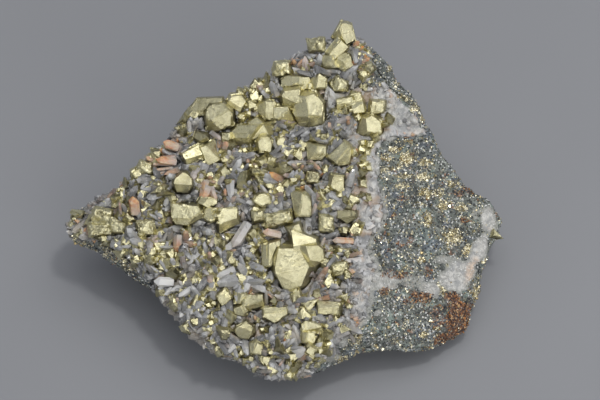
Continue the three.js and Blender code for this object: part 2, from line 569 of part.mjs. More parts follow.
/** Planes of a six-sided quartz prism, its root end flat and its other end pointed by `ends` faces. */
function quartzPlanes(root, axis, width, length, ends, random) {
  const side = new THREE.Vector3(axis.y, -axis.x, 0.2).cross(axis).normalize();
  const planes = [facePlane(axis.clone().negate(), 0, root)];
  for (let i = 0; i < 6; i++) {
    const way = side.clone().applyAxisAngle(axis, (i * Math.PI) / 3);
    const reach = (width / 2) * mix(0.85, 1.1, random());
    planes.push(facePlane(way, reach, root));
    if (i % (6 / ends)) continue;
    const slope = radians(RHOMB_SLOPE);
    const end = way.clone().multiplyScalar(Math.sin(slope)).addScaledVector(axis, Math.cos(slope));
    const tip = root.clone().addScaledVector(axis, length);
    planes.push(facePlane(end, width * mix(-0.04, 0.05, random()), tip));
  }
  return planes;
}

// ---- Materials ----

const materials = {
  rock: new THREE.MeshStandardMaterial({ color: 0x5f665f, roughness: 0.7, metalness: 0.1 }),
  quartz: new THREE.MeshStandardMaterial({ color: 0xa3a4ab, roughness: 0.3, metalness: 0 }),
  stainedQuartz: new THREE.MeshStandardMaterial({ color: 0xc08a62, roughness: 0.35, metalness: 0 }),
  chalcopyrite: new THREE.MeshStandardMaterial({ color: 0xb9ad6b, roughness: 0.32, metalness: 1 }),
};

// ---- Putting it together ----

const body = roughBody();
const ceiling = () => HEIGHT_LIMIT - 2;
const floor = () => -HEIGHT_LIMIT - 20;

const rockHollow = blockBetween(ceiling, (x, y) => crustBottom(x, y) - GAP, UNDERSIDE_GRID);
let rock = blockBetween(brokenRockTop, floor, ROCK_GRID)
  .intersect(body)
  .subtract(rockHollow.intersect(blockOnOutline(CRUST_OUTLINE, GAP)));
let crust = blockBetween(crustTop, floor, CRUST_GRID)
  .intersect(blockBetween(ceiling, crustBottom, UNDERSIDE_GRID))
  .intersect(body)
  .intersect(blockOnOutline(CRUST_OUTLINE));

// Every chalcopyrite node, with its pocket: the same body grown by the gap.
const crystals = new Map();
function addCrystal(node, { centre, planes }) {
  const known = crystals.get(node);
  const solid = bodyOfPlanes(planes);
  const pocket = bodyOfPlanes(planes, GAP);
  if (!known) crystals.set(node, { centre, solid, pocket });
  else Object.assign(known, { solid: known.solid.add(solid), pocket: known.pocket.add(pocket) });
}
for (const row of CARVED) addCrystal(row[0], carvedPlanes(row));

// A crystal that reaches another's place stops at it.
const seated = [];
for (const [node, crystal] of crystals) {
  for (const other of seated) crystal.solid = crystal.solid.subtract(other.pocket);
  crystal.solid = mainBody(crystal.solid);
  seated.push(crystal);
}

// The clear-standing quartz crystals keep out of the chalcopyrite too.
const prismRandom = randomNumbers(5);
const prisms = QUARTZ_PRISMS.map(([node, x, y, width, length, way, rise]) => {
  const axis = facing(way, 90 - rise);
  const root = new THREE.Vector3(x, y, crustTop(x, y) + 0.1 * width);
  const planes = quartzPlanes(root, axis, width, length, 6, prismRandom);
  let solid = bodyOfPlanes(planes);
  for (const other of seated) solid = solid.subtract(other.pocket);
  return { node, centre: root, solid: mainBody(solid), pocket: bodyOfPlanes(planes, GAP) };
});

// Small quartz crystals grow out of the crust wherever there is room between the others.
const scatter = randomNumbers(23);
const taken = [...seated, ...prisms].map((c) => c.centre);
let made = 0;
for (let tries = 0; made < LOOSE_QUARTZ_COUNT && tries < 6000; tries++) {
  const [x, y] = [mix(-60, 40, scatter()), mix(-48, 45, scatter())];
  const margin = Math.min(depthInside(CRUST_OUTLINE, x, y), depthInside(ROCK_OUTLINE, x, y));
  const spot = new THREE.Vector3(x, y, crustTop(x, y) - LOOSE_QUARTZ_ROOT);
  const crowded = taken.some((p) => Math.hypot(p.x - x, p.y - y) < LOOSE_QUARTZ_SPACING);
  if (margin < LOOSE_QUARTZ_MARGIN || crowded) continue;
  const axis = facing(360 * scatter(), LOOSE_QUARTZ_LEAN * Math.sqrt(scatter()));
  const width = mix(...LOOSE_QUARTZ_WIDTH, scatter());
  const length = width * mix(...LOOSE_QUARTZ_LENGTH, scatter()) + LOOSE_QUARTZ_ROOT;
  const planes = quartzPlanes(spot, axis, width, length, 3, scatter);
  crust = crust.add(bodyOfPlanes(planes));
  rock = rock.subtract(bodyOfPlanes(planes, GAP));
  taken.push(spot);
  made += 1;
}

for (const { pocket } of [...seated, ...prisms]) {
  crust = crust.subtract(pocket);
  rock = rock.subtract(pocket);
}
rock = mainBody(rock.simplify(SMOOTHING));
crust = mainBody(crust.simplify(SMOOTHING));

const specimen = new THREE.Group();
specimen.rotation.x = radians(90 - SHOW_ELEVATION);
specimen.position.z = FACE_HEIGHT;
specimen.add(meshOf("host_rock", rock, materials.rock));
specimen.add(meshOf("quartz_crust", crust, materials.quartz));
for (const { node, solid, centre } of prisms) {
  const plain = node.startsWith("long") || node.startsWith("white");
  specimen.add(meshOf(node, solid, plain ? materials.quartz : materials.stainedQuartz, centre));
}
for (const [node, { solid, centre }] of crystals)
  specimen.add(meshOf(node, solid, materials.chalcopyrite, centre));

const part = new THREE.Group();
part.add(specimen);

export default part;
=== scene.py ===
"""Chalcopyrite on quartz: the surfaces and the small crystals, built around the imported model.

The work is done in millimetres on the show face, the plane that faces a viewer who looks down on the
specimen from 55 degrees: u runs across it, v up it and w out of it, towards the viewer. Meshes are
turned into the frame's own metres when they are made.
"""

import math
from itertools import combinations

import bmesh
import bpy
import numpy as np
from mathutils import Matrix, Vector, noise
from mathutils.bvhtree import BVHTree


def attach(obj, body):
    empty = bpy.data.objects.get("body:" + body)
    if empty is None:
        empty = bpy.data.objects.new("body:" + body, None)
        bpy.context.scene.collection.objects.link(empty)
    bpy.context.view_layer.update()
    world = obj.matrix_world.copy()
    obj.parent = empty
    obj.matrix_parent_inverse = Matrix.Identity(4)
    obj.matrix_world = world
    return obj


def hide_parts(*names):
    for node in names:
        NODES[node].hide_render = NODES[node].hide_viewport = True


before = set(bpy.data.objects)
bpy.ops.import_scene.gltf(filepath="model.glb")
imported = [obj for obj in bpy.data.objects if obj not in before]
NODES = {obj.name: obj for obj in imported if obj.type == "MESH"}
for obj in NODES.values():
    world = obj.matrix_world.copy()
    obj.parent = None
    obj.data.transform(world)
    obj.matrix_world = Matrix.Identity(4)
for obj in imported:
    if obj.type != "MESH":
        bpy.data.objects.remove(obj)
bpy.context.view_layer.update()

# Seeds of the random draws, and of the noise that has a direction.
LARGE_SEED, SMALL_SEED, DRUSE_SEED, GRAIN_SEED = 3, 17, 29, 41
DRIFT_SEED = 7
noise.seed_set(DRIFT_SEED)

# ---- The show face ----

MM = 0.001
ELEVATION = math.radians(55)
FACE_HEIGHT = 30.0  # of the show face's middle above the resting face, in millimetres
ACROSS = np.array([1.0, 0.0, 0.0])
UP = np.array([0.0, math.sin(ELEVATION), math.cos(ELEVATION)])
OUT = np.array([0.0, -math.cos(ELEVATION), math.sin(ELEVATION)])
SHOW = np.array([ACROSS, UP, OUT])
CENTRE = np.array([0.0, 0.0, FACE_HEIGHT])


def to_row(points):
    """Show-face millimetres to the frame's millimetres."""
    return np.asarray(points, float) @ SHOW + CENTRE


def to_show(points):
    """The frame's millimetres to show-face millimetres."""
    return (np.asarray(points, float) - CENTRE) @ SHOW.T


def smooth(low, high, x):
    """A smooth step from 0 at `low` to 1 at `high`."""
    t = np.clip((np.asarray(x, float) - low) / (high - low), 0, 1)
    return t * t * (3 - 2 * t)


def unit(v):
    """The same direction or directions, 1 long."""
    v = np.asarray(v, float)
    return v / np.maximum(np.linalg.norm(v, axis=-1, keepdims=True), 1e-12)


# ---- Meshes ----


def vertices_of(mesh):
    """The mesh's points, in millimetres."""
    places = np.empty(len(mesh.vertices) * 3)
    mesh.vertices.foreach_get("co", places)
    return places.reshape(-1, 3) / MM


def triangles_of(mesh):
    """The three corners of each of the mesh's triangles, in millimetres."""
    mesh.calc_loop_triangles()
    index = np.empty(len(mesh.loop_triangles) * 3, dtype=np.int32)
    mesh.loop_triangles.foreach_get("vertices", index)
    return vertices_of(mesh)[index.reshape(-1, 3)]


def linked(name, data):
    """A new object in the scene."""
    made = bpy.data.objects.new(name, data)
    bpy.context.collection.objects.link(made)
    return made


def place(mesh, name, material, replaces=()):
    """A piece of the specimen, on the frame's body."""
    piece = linked(name, mesh)
    mesh.materials.clear()
    mesh.materials.append(material)
    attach(piece, "root")
    if replaces:
        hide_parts(*replaces)
    return piece


def applied(piece):
    """The piece's modifiers become its mesh."""
    graph = bpy.context.evaluated_depsgraph_get()
    graph.update()
    mesh = bpy.data.meshes.new_from_object(piece.evaluated_get(graph))
    piece.modifiers.clear()
    piece.data = mesh


def remesh(piece, voxel):
    """The piece's mesh becomes an even one, with a vertex about every `voxel` millimetres."""
    even = piece.modifiers.new("even", "REMESH")
    even.mode, even.voxel_size = "VOXEL", voxel * MM
    applied(piece)


def move(mesh, points):
    """The mesh's vertices go to these points, in millimetres."""
    mesh.vertices.foreach_set("co", (points * MM).ravel())
    mesh.update()


def mark(mesh, **marks):
    """Named numbers on a mesh's vertices, for its material."""
    for name, values in marks.items():
        layer = mesh.attributes.new(name, "FLOAT", "POINT")
        layer.data.foreach_set("value", np.asarray(values, np.float32))


class Heap:
    """Many small closed bodies that become one mesh."""

    def __init__(self, *marks):
        self.verts, self.faces, self.count = [], [], 0
        self.marks = {name: [] for name in marks}

    def add(self, verts, faces, **marks):
        self.verts.append(verts)
        self.faces += [[i + self.count for i in face] for face in faces]
        self.count += len(verts)
        for name, values in self.marks.items():
            values.append(np.broadcast_to(marks.get(name, 0.0), len(verts)))

    def piece(self, name, slot, material, bevel=0.0, replaces=()):
        mesh = bpy.data.meshes.new(name)
        mesh.from_pydata((np.concatenate(self.verts) * MM).tolist(), [], self.faces)
        mark(mesh, **{k: np.concatenate(v) for k, v in self.marks.items()})
        mesh.update()
        made = place(mesh, name, material, replaces)
        if bevel:
            edge = made.modifiers.new("edges", "BEVEL")
            edge.width, edge.segments, edge.limit_method = bevel * MM, 1, "ANGLE"
            edge.angle_limit = math.radians(20)
            applied(made)
        return made


def fractal(points, size, octaves=3):
    """Fractal noise, about -1 to 1, with its largest lumps about `size` millimetres."""
    return np.array([noise.fractal(p, 0.8, 2.1, octaves) for p in points / size])


def drift(points, size):
    """A smoothly changing direction, each part about -1 to 1, with lumps of about `size` millimetres."""
    return np.array([noise.noise_vector(p) for p in points / size])


def cells(points, size):
    """Distance to the nearest of scattered points, 0 to about 1, with cells of about `size`."""
    return np.array([noise.voronoi(p)[0][0] for p in points / size])


# ---- Where the photograph's colours lie on the show face ----

# Each patch: centre u, v, half width, half height, turn in degrees, strength.
WHITE_QUARTZ = [
    (27.5, 28, 3.6, 3.4, -45, 1), (31.5, 24, 4.8, 2.8, -35, 0.95), (33.5, 20.5, 5.4, 2.8, -20, 1),
    (28, 18, 3, 1.6, 0, 0.7), (24, 10, 2.2, 3.8, 0, 0.9), (23.6, 2.5, 2, 3.5, 0, 0.6),
    (23.2, -5, 3.4, 3.8, 0, 1), (20.5, -16, 3.4, 3.4, 0, 0.8), (25.5, -22.5, 6, 2.8, 0, 0.7),
    (35, -22.5, 5, 2, 0, 0.4), (40, -24.8, 3.4, 2, -15, 0.75), (47.5, -21, 5.6, 4.4, 35, 1),
    (53.3, -14, 2.3, 5.4, -25, 1), (56.4, -5.5, 2.4, 4, 10, 1), (52.5, -4, 1.5, 2, 0, 0.4),
    (44, -16.5, 3, 1.4, 0, 0.45), (20, -29, 2.4, 5, 10, 0.8), (15, -23.5, 3, 2, 0, 0.6),
    (16.5, -34.5, 4, 2.5, -20, 0.7), (25, -31, 1, 0.8, 0, 0.8), (14, -38.5, 3, 1.5, -20, 0.5),
    (10, -41, 5, 3, -30, 0.5),
]
PEACH = [
    (18.5, -2, 2.5, 3, 0, 0.8), (20, -14.5, 2.2, 2.6, 0, 0.7), (18.5, -20.5, 2.5, 2, 0, 0.7),
    (19, -24.5, 2.4, 2, 0, 0.8), (51.5, -20, 2, 4, -20, 0.6), (20.8, -34, 1.5, 1, 0, 0.6),
    (29, 31, 1, 1, 0, 0.5),
]
RUST = [
    (47.5, -33, 4.2, 6.5, 0, 1), (44, -38.5, 4, 2, 15, 0.8), (50.3, -30.5, 1.8, 4, 0, 0.6),
    (46, -27, 2.6, 1.6, 0, 0.9), (42, -32, 2.5, 4, 0, 0.5), (37, -26.8, 4, 1.8, -5, 0.75),
    (34, -28, 2, 1, 0, 0.6), (27, -25, 1.8, 1.2, 0, 0.8), (31.6, -12.2, 1.5, 1.2, 0, 0.6),
    (49.5, -5.8, 1.3, 1.2, 0, 0.6), (30, -20.5, 5, 1.6, 0, 0.45), (39, -19.5, 1.5, 2, 0, 0.5),
    (29.8, -4.3, 1.2, 0.8, 0, 0.6), (35, 12.6, 1.2, 1, 0, 0.5), (50.5, 3, 2.6, 1.2, -30, 0.65),
    (48.2, 2, 1.5, 1.2, 0, 0.55), (32.5, 0.5, 2.5, 1, 0, 0.5), (33.6, 17.2, 0.6, 0.5, 0, 0.8),
]
BRASSY = [
    (29.8, 14, 1.6, 1, 0, 1), (27.8, 11.6, 1.5, 1, 0, 0.8), (33.8, 11.5, 2.4, 2, 0, 1),
    (38, 10.4, 2, 1, 0, 1), (31.3, 9.3, 1, 0.8, 0, 0.8), (27.5, 8.4, 2, 0.9, 0, 0.5),
    (32.6, 6.6, 2.4, 0.8, 0, 0.8), (38, 6.3, 2, 1.2, 0, 1), (32, 4, 2, 1, 0, 0.8),
    (38.7, 2, 2.2, 1.4, 0, 0.8), (42.5, 2, 2, 1.2, 0, 0.7), (46.5, 4.4, 1.8, 1.1, 0, 0.8),
    (51.8, 2, 0.8, 0.8, 0, 0.8), (32.6, 28.5, 2.5, 1, -20, 0.8), (35.7, 25.3, 1.5, 1.4, -50, 1),
    (37.8, 22.5, 1, 1.4, 0, 0.8), (29, 37, 0.8, 1.2, 0, 0.9), (31, 32.8, 0.9, 0.8, 0, 0.8),
    (26.6, 32, 1.2, 0.8, 0, 0.7), (39.5, -5.6, 1.2, 2.2, 0, 1), (46.3, -10, 2.8, 2.4, 0, 1),
    (50.7, -14, 1.3, 2.4, -30, 0.9), (37.2, -16.5, 1.2, 0.7, 0, 1), (32.8, -18.7, 1, 0.6, 0, 0.9),
    (27.3, -25.3, 1.4, 0.9, 0, 0.9), (43, -24.2, 2.4, 1.6, -30, 0.8), (48.9, -2.3, 1.9, 1, 0, 0.9),
    (43.4, -1.4, 2, 1.4, 0, 0.8), (36.5, -1, 1.5, 1, 0, 0.4), (38, -37, 1.2, 1, 0, 1),
    (41.5, -35.5, 1.4, 0.7, 0, 0.7), (19, -38, 2.2, 2, 0, 0.6), (30, -39, 1.4, 1, 0, 0.5),
    (15, -43.5, 2.5, 1, 0, 0.6), (52.8, -27, 1.2, 3.2, 0, 0.9), (21.5, 38.5, 2.5, 4, 0, 0.7),
    (-57, -9, 3, 3, 0, 0.8), (-47, -14, 5, 3, -30, 0.35), (-42, -17, 5, 3, -20, 0.35),
]
DARK = [
    (45, -30, 2.2, 3, 20, 0.7), (49.2, -29, 1.8, 2.4, 0, 0.5), (24.5, 36.5, 2.5, 4.5, 30, 0.6),
    (27, 34, 2, 3, 20, 0.4), (39, 16, 3, 1.6, -40, 0.5), (25.5, -11.5, 1.6, 1.6, 0, 0.6),
    (27.5, -17.5, 1.8, 2.4, 0, 0.4), (33, -12, 6, 4, 0, 0.3), (-50, -15, 6, 3, -30, 0.1),
    (30, 15.4, 6, 2.6, -25, 0.5), (41, -7, 4, 2.5, 0, 0.4), (28, 2, 3, 5, 0, 0.35),
]
# Where the quartz crust is worn to a skin and the rock shows in it.
ROCKY = [
    (34, 29, 8, 3.2, -50, 1), (27.5, 36.5, 4.5, 7, 40, 1), (38.5, 22, 3.5, 2, -55, 1),
    (23.5, 42, 2.5, 3, 30, 1), (23.4, 35, 3, 3.6, 20, 1), (-44.8, -18.6, 11.5, 3.3, -40, 1),
]


def patches(show, normals_out, table, grain):
    """How strongly each point lies in a table's patches, 0 to 1, with ragged edges; not on the back."""
    ragged = 0.28 * fractal(show + 31.0, grain, 3)
    total = np.zeros(len(show))
    for u, v, half_u, half_v, turn, strength in table:
        a = math.radians(turn)
        du, dv = show[:, 0] - u, show[:, 1] - v
        along = (du * math.cos(a) + dv * math.sin(a)) / half_u
        aside = (dv * math.cos(a) - du * math.sin(a)) / half_v
        inside = 1 - smooth(0.55, 1.25, np.hypot(along, aside) + ragged)
        total = np.maximum(total, inside * strength)
    return total * smooth(-0.15, 0.25, normals_out)


# Each kind of patch, with the size of its ragged edges' lumps in millimetres.
PATCHES = {
    "white": (WHITE_QUARTZ, 3.0), "peach": (PEACH, 2.0), "rust": (RUST, 2.2), "brass": (BRASSY, 2.5),
    "dark": (DARK, 3.5),
}


def patch_marks(show, normals_out, *kinds):
    """Those kinds of patch at each point, by name."""
    return {kind: patches(show, normals_out, *PATCHES[kind]) for kind in kinds}


def massiveness(show, white):
    """Where the quartz is massive instead of grown in crystals: its white masses and its right edge."""
    return np.maximum(white, smooth(16, 21, show[:, 0]) * smooth(33, 29, show[:, 1]))


def rockiness(show):
    """How bare the rock is in the quartz crust, round its rim as well."""
    return patches(show, np.ones(len(show)), ROCKY, 1.5)


# ---- Materials ----


class Shader:
    """A material with a few short ways to build its nodes."""

    def __init__(self, name):
        self.material = bpy.data.materials.new(name)
        self.material.use_nodes = True
        self.tree = self.material.node_tree
        self.surface = self.tree.nodes["Principled BSDF"]
        self.place = self.new("ShaderNodeTexCoord").outputs["Object"]

    def new(self, kind, **settings):
        node = self.tree.nodes.new(kind)
        for name, value in settings.items():
            setattr(node, name, value)
        return node

    def feed(self, socket, value):
        if isinstance(value, bpy.types.NodeSocket):
            self.tree.links.new(value, socket)
        elif isinstance(value, tuple) and len(value) == 3 and socket.type == "RGBA":
            socket.default_value = (*value, 1)
        else:
            socket.default_value = value

    def set(self, **inputs):
        """Values or nodes for the surface's inputs, whose spaces are written as underlines."""
        for name, value in inputs.items():
            self.feed(self.surface.inputs[name.replace("_", " ")], value)

    def mark(self, name):
        """The number of that name on the mesh's vertices."""
        return self.new("ShaderNodeAttribute", attribute_name=name).outputs["Fac"]

    def noise(self, size, detail=3.0, distortion=0.0, rough=0.55):
        """Noise with lumps of about `size` millimetres."""
        node = self.new("ShaderNodeTexNoise")
        self.feed(node.inputs["Vector"], self.place)
        node.inputs["Scale"].default_value = 1 / (size * MM)
        node.inputs["Detail"].default_value = detail
        node.inputs["Roughness"].default_value = rough
        node.inputs["Distortion"].default_value = distortion
        return node.outputs["Fac"]

    def grains(self, size):
        """Cells of about `size` millimetres: (distance, random colour)."""
        node = self.new("ShaderNodeTexVoronoi")
        self.feed(node.inputs["Vector"], self.place)
        node.inputs["Scale"].default_value = 1 / (size * MM)
        return node.outputs["Distance"], node.outputs["Color"]

    def channel(self, colour, name):
        split = self.new("ShaderNodeSeparateColor")
        self.feed(split.inputs["Color"], colour)
        return split.outputs[name]

    def span(self, value, low, high, to_low=0.0, to_high=1.0):
        """A smooth step from `to_low` where the value is `low` to `to_high` where it is `high`."""
        node = self.new("ShaderNodeMapRange", interpolation_type="SMOOTHSTEP")
        self.feed(node.inputs["Value"], value)
        for name, number in zip(("From Min", "From Max", "To Min", "To Max"), (low, high, to_low, to_high)):
            self.feed(node.inputs[name], number)
        return node.outputs["Result"]

    def math(self, kind, a, b=0.0):
        node = self.new("ShaderNodeMath", operation=kind)
        self.feed(node.inputs[0], a)
        self.feed(node.inputs[1], b)
        return node.outputs[0]

    def blend(self, a, b, share):
        """Colour `a` with a share of colour `b`, on the mix node's colour sockets."""
        node = self.new("ShaderNodeMix", data_type="RGBA")
        self.feed(node.inputs["Factor"], share)
        self.feed(node.inputs[6], a)
        self.feed(node.inputs[7], b)
        return node.outputs[2]

    def over(self, a, b, value, low, high, most=1.0):
        """Colour `b` over colour `a`, from none of it where the value is `low` to `most` at `high`."""
        return self.blend(a, b, self.span(value, low, high, 0.0, most))

    def bump(self, height, depth, below=None):
        """`height`, 0 to 1, as relief of `depth` millimetres, on top of another bump."""
        node = self.new("ShaderNodeBump")
        node.inputs["Distance"].default_value = depth * MM
        self.feed(node.inputs["Height"], height)
        if below is not None:
            self.feed(node.inputs["Normal"], below)
        return node.outputs["Normal"]


def chalcopyrite_material():
    """Satin brass, finely stepped, with bright and dull patches and fine specks of painted highlight;
    `tone` makes a whole crystal dull, and as painted shade darkens the chips of broken crystals and
    crystals turned from the light.
    """
    s = Shader("chalcopyrite")
    patchy = s.noise(3.6, 3, 0.6)
    fine = s.noise(0.42, 4, 0.2, 0.6)
    brass = s.over((0.81, 0.76, 0.485), (0.60, 0.555, 0.325), patchy, 0.38, 0.70)
    # Pale specks on the fine noise: painted highlight, glints painted into the colour.
    brass = s.over(brass, (1.0, 0.97, 0.72), fine, 0.50, 0.70, 0.65)
    brass = s.over(brass, (0.40, 0.355, 0.19), s.noise(1.1, 4, 1.2), 0.56, 0.74, 0.6)
    # `tone` darkens a crystal: partly its own dull colour, partly painted shade.
    brass = s.over(brass, (0.25, 0.23, 0.14), s.mark("tone"), 0.1, 1.1, 0.8)
    ledges = s.math("FRACT", s.math("MULTIPLY", s.noise(2.2, 4, 1.6), 9.0))
    relief = s.bump(ledges, 0.028)
    relief = s.bump(s.noise(0.9, 3, 0.3, 0.5), 0.045, relief)
    relief = s.bump(fine, 0.10, relief)
    s.set(Base_Color=brass, Metallic=1.0, Roughness=s.span(fine, 0.3, 0.7, 0.27, 0.44), Normal=relief)
    return s.material


QUARTZ_IOR = 1.544


def quartz_material():
    """Grey to white translucent quartz, dark where `light` is low (in a root, as painted shade) and clearer
    at a tip, partly as painted light.
    """
    s = Shader("quartz")
    cloud = s.noise(1.7, 3, 0.5)
    # `light` is a prism's own random tone times painted shade at its root and painted light at its tip.
    clear = s.over((0.21, 0.21, 0.21), (0.68, 0.68, 0.67), s.mark("light"), 0.0, 1.1)
    clear = s.over(clear, (0.80, 0.80, 0.79), cloud, 0.52, 0.76, 0.7)
    clear = s.over(clear, (0.16, 0.158, 0.155), cloud, 0.44, 0.26, 0.7)
    clear = s.over(clear, (0.62, 0.53, 0.40), s.noise(7.0, 3, 0.6), 0.5, 0.72, 0.5)
    clear = s.blend(clear, (0.88, 0.87, 0.84), s.mark("white"))
    orange = s.over((0.82, 0.26, 0.04), (0.86, 0.53, 0.20), s.noise(1.0, 3), 0.3, 0.7)
    colour = s.blend(clear, orange, s.math("MULTIPLY", s.mark("stain"), s.span(cloud, 0.35, 0.6, 1.0, 0.7)))
    relief = s.bump(s.noise(0.35, 2, 0.0), 0.012)
    s.set(Base_Color=colour, Roughness=s.span(s.noise(0.9, 3), 0.3, 0.7, 0.05, 0.24), IOR=QUARTZ_IOR)
    s.set(Subsurface_Weight=0.5, Subsurface_Radius=(1.0, 1.0, 0.9), Subsurface_Scale=0.7 * MM)
    s.set(Transmission_Weight=0.16, Normal=relief)
    return s.material


GOLD_GRAIN = (1.0, 0.93, 0.68)
DULL_GOLD = (0.36, 0.31, 0.17)


def gold_grain(s, random):
    """Colour of the brassy grains, from dull to bright."""
    return s.over(DULL_GOLD, GOLD_GRAIN, random, 0.25, 0.6)


def broken_rock(s):
    """Colour of the fine-grained sulphide rock, where it is brassy, and two of its noises."""
    middle = s.noise(1.5, 5, 0.5, 0.65)
    _, random = s.grains(0.42)
    red, green, blue = (s.channel(random, c) for c in ("Red", "Green", "Blue"))
    colour = s.over((0.085, 0.095, 0.088), (0.26, 0.28, 0.245), s.noise(6.5, 4, 0.8), 0.33, 0.68)
    colour = s.over(colour, (0.27, 0.345, 0.30), s.noise(4.5, 3, 1.0), 0.54, 0.66, 0.7)
    colour = s.over(colour, (0.17, 0.20, 0.24), s.noise(5.5, 3, 0.8), 0.50, 0.64, 0.7)
    colour = s.over(colour, (0.60, 0.63, 0.57), middle, 0.50, 0.72, 0.9)
    colour = s.over(colour, (0.016, 0.017, 0.018), middle, 0.44, 0.28, 0.9)
    colour = s.over(colour, (0.02, 0.021, 0.024), blue, 0.78, 0.82, 0.8)
    colour = s.over(colour, (0.88, 0.88, 0.85), green, 0.92, 0.94, 0.9)
    reddish = s.math("MULTIPLY", s.span(s.noise(2.6, 3, 1.0), 0.60, 0.70), s.span(red, 0.35, 0.5))
    colour = s.blend(colour, (0.36, 0.15, 0.06), s.math("MULTIPLY", reddish, 0.7))
    colour = s.blend(colour, (0.014, 0.015, 0.02), s.math("MULTIPLY", s.mark("dark"), 0.6))
    colour = s.blend(colour, (0.13, 0.105, 0.06), s.math("MULTIPLY", s.mark("brass"), 0.75))
    clumps = s.math("ADD", s.mark("brass"), s.span(s.noise(3.0, 3, 0.5), 0.54, 0.68, 0.0, 0.3))
    gold = s.math("GREATER_THAN", red, s.math("SUBTRACT", 0.965, s.math("MULTIPLY", clumps, 0.72)))
    return s.blend(colour, gold_grain(s, green), gold), gold, middle, random


def milky(s, middle):
    """Colour of the massive white quartz, cloudy and in places stained peach."""
    white = s.over((0.40, 0.395, 0.375), (0.76, 0.745, 0.70), middle, 0.32, 0.68)
    white = s.over(white, (0.37, 0.375, 0.375), s.noise(2.4, 3, 0.8), 0.47, 0.63, 0.8)
    peach = s.math("MAXIMUM", s.span(s.noise(3.2, 3), 0.56, 0.74, 0.0, 0.4), s.mark("peach"))
    share = s.math("MULTIPLY", peach, s.span(middle, 0.3, 0.55, 0.3, 0.9))
    return s.blend(white, (0.80, 0.55, 0.36), share)


def crust_material():
    """The grown-together quartz between the crystals, with painted shade in its depths, and rusty stains.
    """
    s = Shader("quartz_crust")
    rock, gold, middle, _ = broken_rock(s)
    cloud = s.noise(3.0, 4, 0.5)
    _, speck = s.grains(0.9)
    grey = s.over((0.26, 0.26, 0.26), (0.54, 0.54, 0.54), cloud, 0.35, 0.68)
    grey = s.over(grey, (0.66, 0.66, 0.67), s.channel(speck, "Red"), 0.7, 0.95, 0.7)
    grey = s.over(grey, (0.05, 0.05, 0.052), s.channel(speck, "Green"), 0.8, 0.9, 0.7)
    rusty = s.span(s.math("ADD", s.noise(5.5, 3, 0.6), s.math("MULTIPLY", s.mark("stain"), 0.3)), 0.6, 0.78)
    colour = s.blend(grey, (0.46, 0.30, 0.17), s.math("MULTIPLY", rusty, 0.5))
    colour = s.over(colour, milky(s, middle), s.mark("white"), 0.15, 0.85)
    # Painted shade: the crust goes near black in its pits.
    colour = s.blend(colour, (0.02, 0.02, 0.02), s.mark("deep"))
    bare = s.span(s.mark("rocky"), 0.35, 0.6)
    colour = s.blend(colour, rock, bare)
    relief = s.bump(s.noise(0.8, 5, 0.4, 0.65), 0.22)
    s.set(Base_Color=colour, Metallic=s.math("MULTIPLY", gold, bare), Normal=relief)
    s.set(Roughness=0.4, IOR=QUARTZ_IOR)
    return s.material


def rock_material():
    """The broken ore with its specks of gold, its masses of white quartz and its rusty corner."""
    s = Shader("host_rock")
    colour, gold, middle, random = broken_rock(s)
    red, green, blue = (s.channel(random, c) for c in ("Red", "Green", "Blue"))
    cloudy = s.math("ADD", s.mark("white"), s.span(middle, 0.3, 0.7, -0.15, 0.15))
    colour = s.over(colour, (0.42, 0.42, 0.385), cloudy, 0.12, 0.42, 0.85)
    colour = s.over(colour, milky(s, middle), cloudy, 0.44, 0.92)
    rust = s.over((0.03, 0.02, 0.022), (0.27, 0.12, 0.055), middle, 0.40, 0.62)
    rust = s.over(rust, (0.72, 0.44, 0.22), red, 0.82, 0.87, 0.9)
    rust = s.over(rust, (0.03, 0.022, 0.026), blue, 0.68, 0.74, 0.8)
    rust = s.over(rust, (0.36, 0.34, 0.31), green, 0.84, 0.9, 0.4)
    speckled = s.math("ADD", s.mark("rust"), s.span(green, 0.0, 1.0, -0.3, 0.3))
    colour = s.over(colour, rust, speckled, 0.35, 0.6, 0.95)
    hidden = s.math("MAXIMUM", s.mark("rust"), s.mark("white"))
    shown = s.math("MULTIPLY", gold, s.math("LESS_THAN", hidden, 0.4))
    colour = s.blend(colour, gold_grain(s, green), shown)
    rough = s.math("SUBTRACT", s.span(blue, 0.0, 1.0, 0.4, 0.7), s.math("MULTIPLY", shown, 0.2))
    relief = s.bump(s.grains(0.42)[0], 0.22)
    relief = s.bump(s.noise(0.7, 6, 0.3, 0.7), 0.26, relief)
    s.set(Base_Color=colour, Metallic=shown, Roughness=rough, Normal=relief)
    return s.material


def grain_material():
    """Grains in the broken rock: brassy, milky, dark or rusty, as their mark counts from 0 to 3."""
    s = Shader("rock_grains")
    kind, tone = s.mark("kind"), s.mark("tone")
    brassy = s.math("LESS_THAN", kind, 0.5)
    colour = s.over((1.0, 0.94, 0.71), (0.50, 0.40, 0.21), tone, 0.35, 1.0)
    pale = s.blend((0.94, 0.94, 0.92), (0.48, 0.49, 0.46), tone)
    dark = s.blend((0.03, 0.032, 0.036), (0.27, 0.295, 0.27), tone)
    rusty = s.blend((0.03, 0.018, 0.016), (0.58, 0.25, 0.08), tone)
    colour = s.blend(colour, pale, s.math("GREATER_THAN", kind, 0.5))
    colour = s.blend(colour, dark, s.math("GREATER_THAN", kind, 1.5))
    colour = s.blend(colour, rusty, s.math("GREATER_THAN", kind, 2.5))
    s.set(Base_Color=colour, Metallic=brassy, Roughness=s.span(tone, 0, 1, 0.16, 0.42))
    return s.material


def floor_material():
    """Matt grey, a very little uneven."""
    s = Shader("floor")
    colour = s.blend((0.285, 0.29, 0.305), (0.305, 0.31, 0.325), s.noise(60, 2))
    s.set(Base_Color=colour, Roughness=0.9)
    return s.material


chalcopyrite = chalcopyrite_material()
quartz = quartz_material()
crust_quartz = crust_material()
rock_stone = rock_material()
grain = grain_material()

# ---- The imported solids, for rays and distances ----

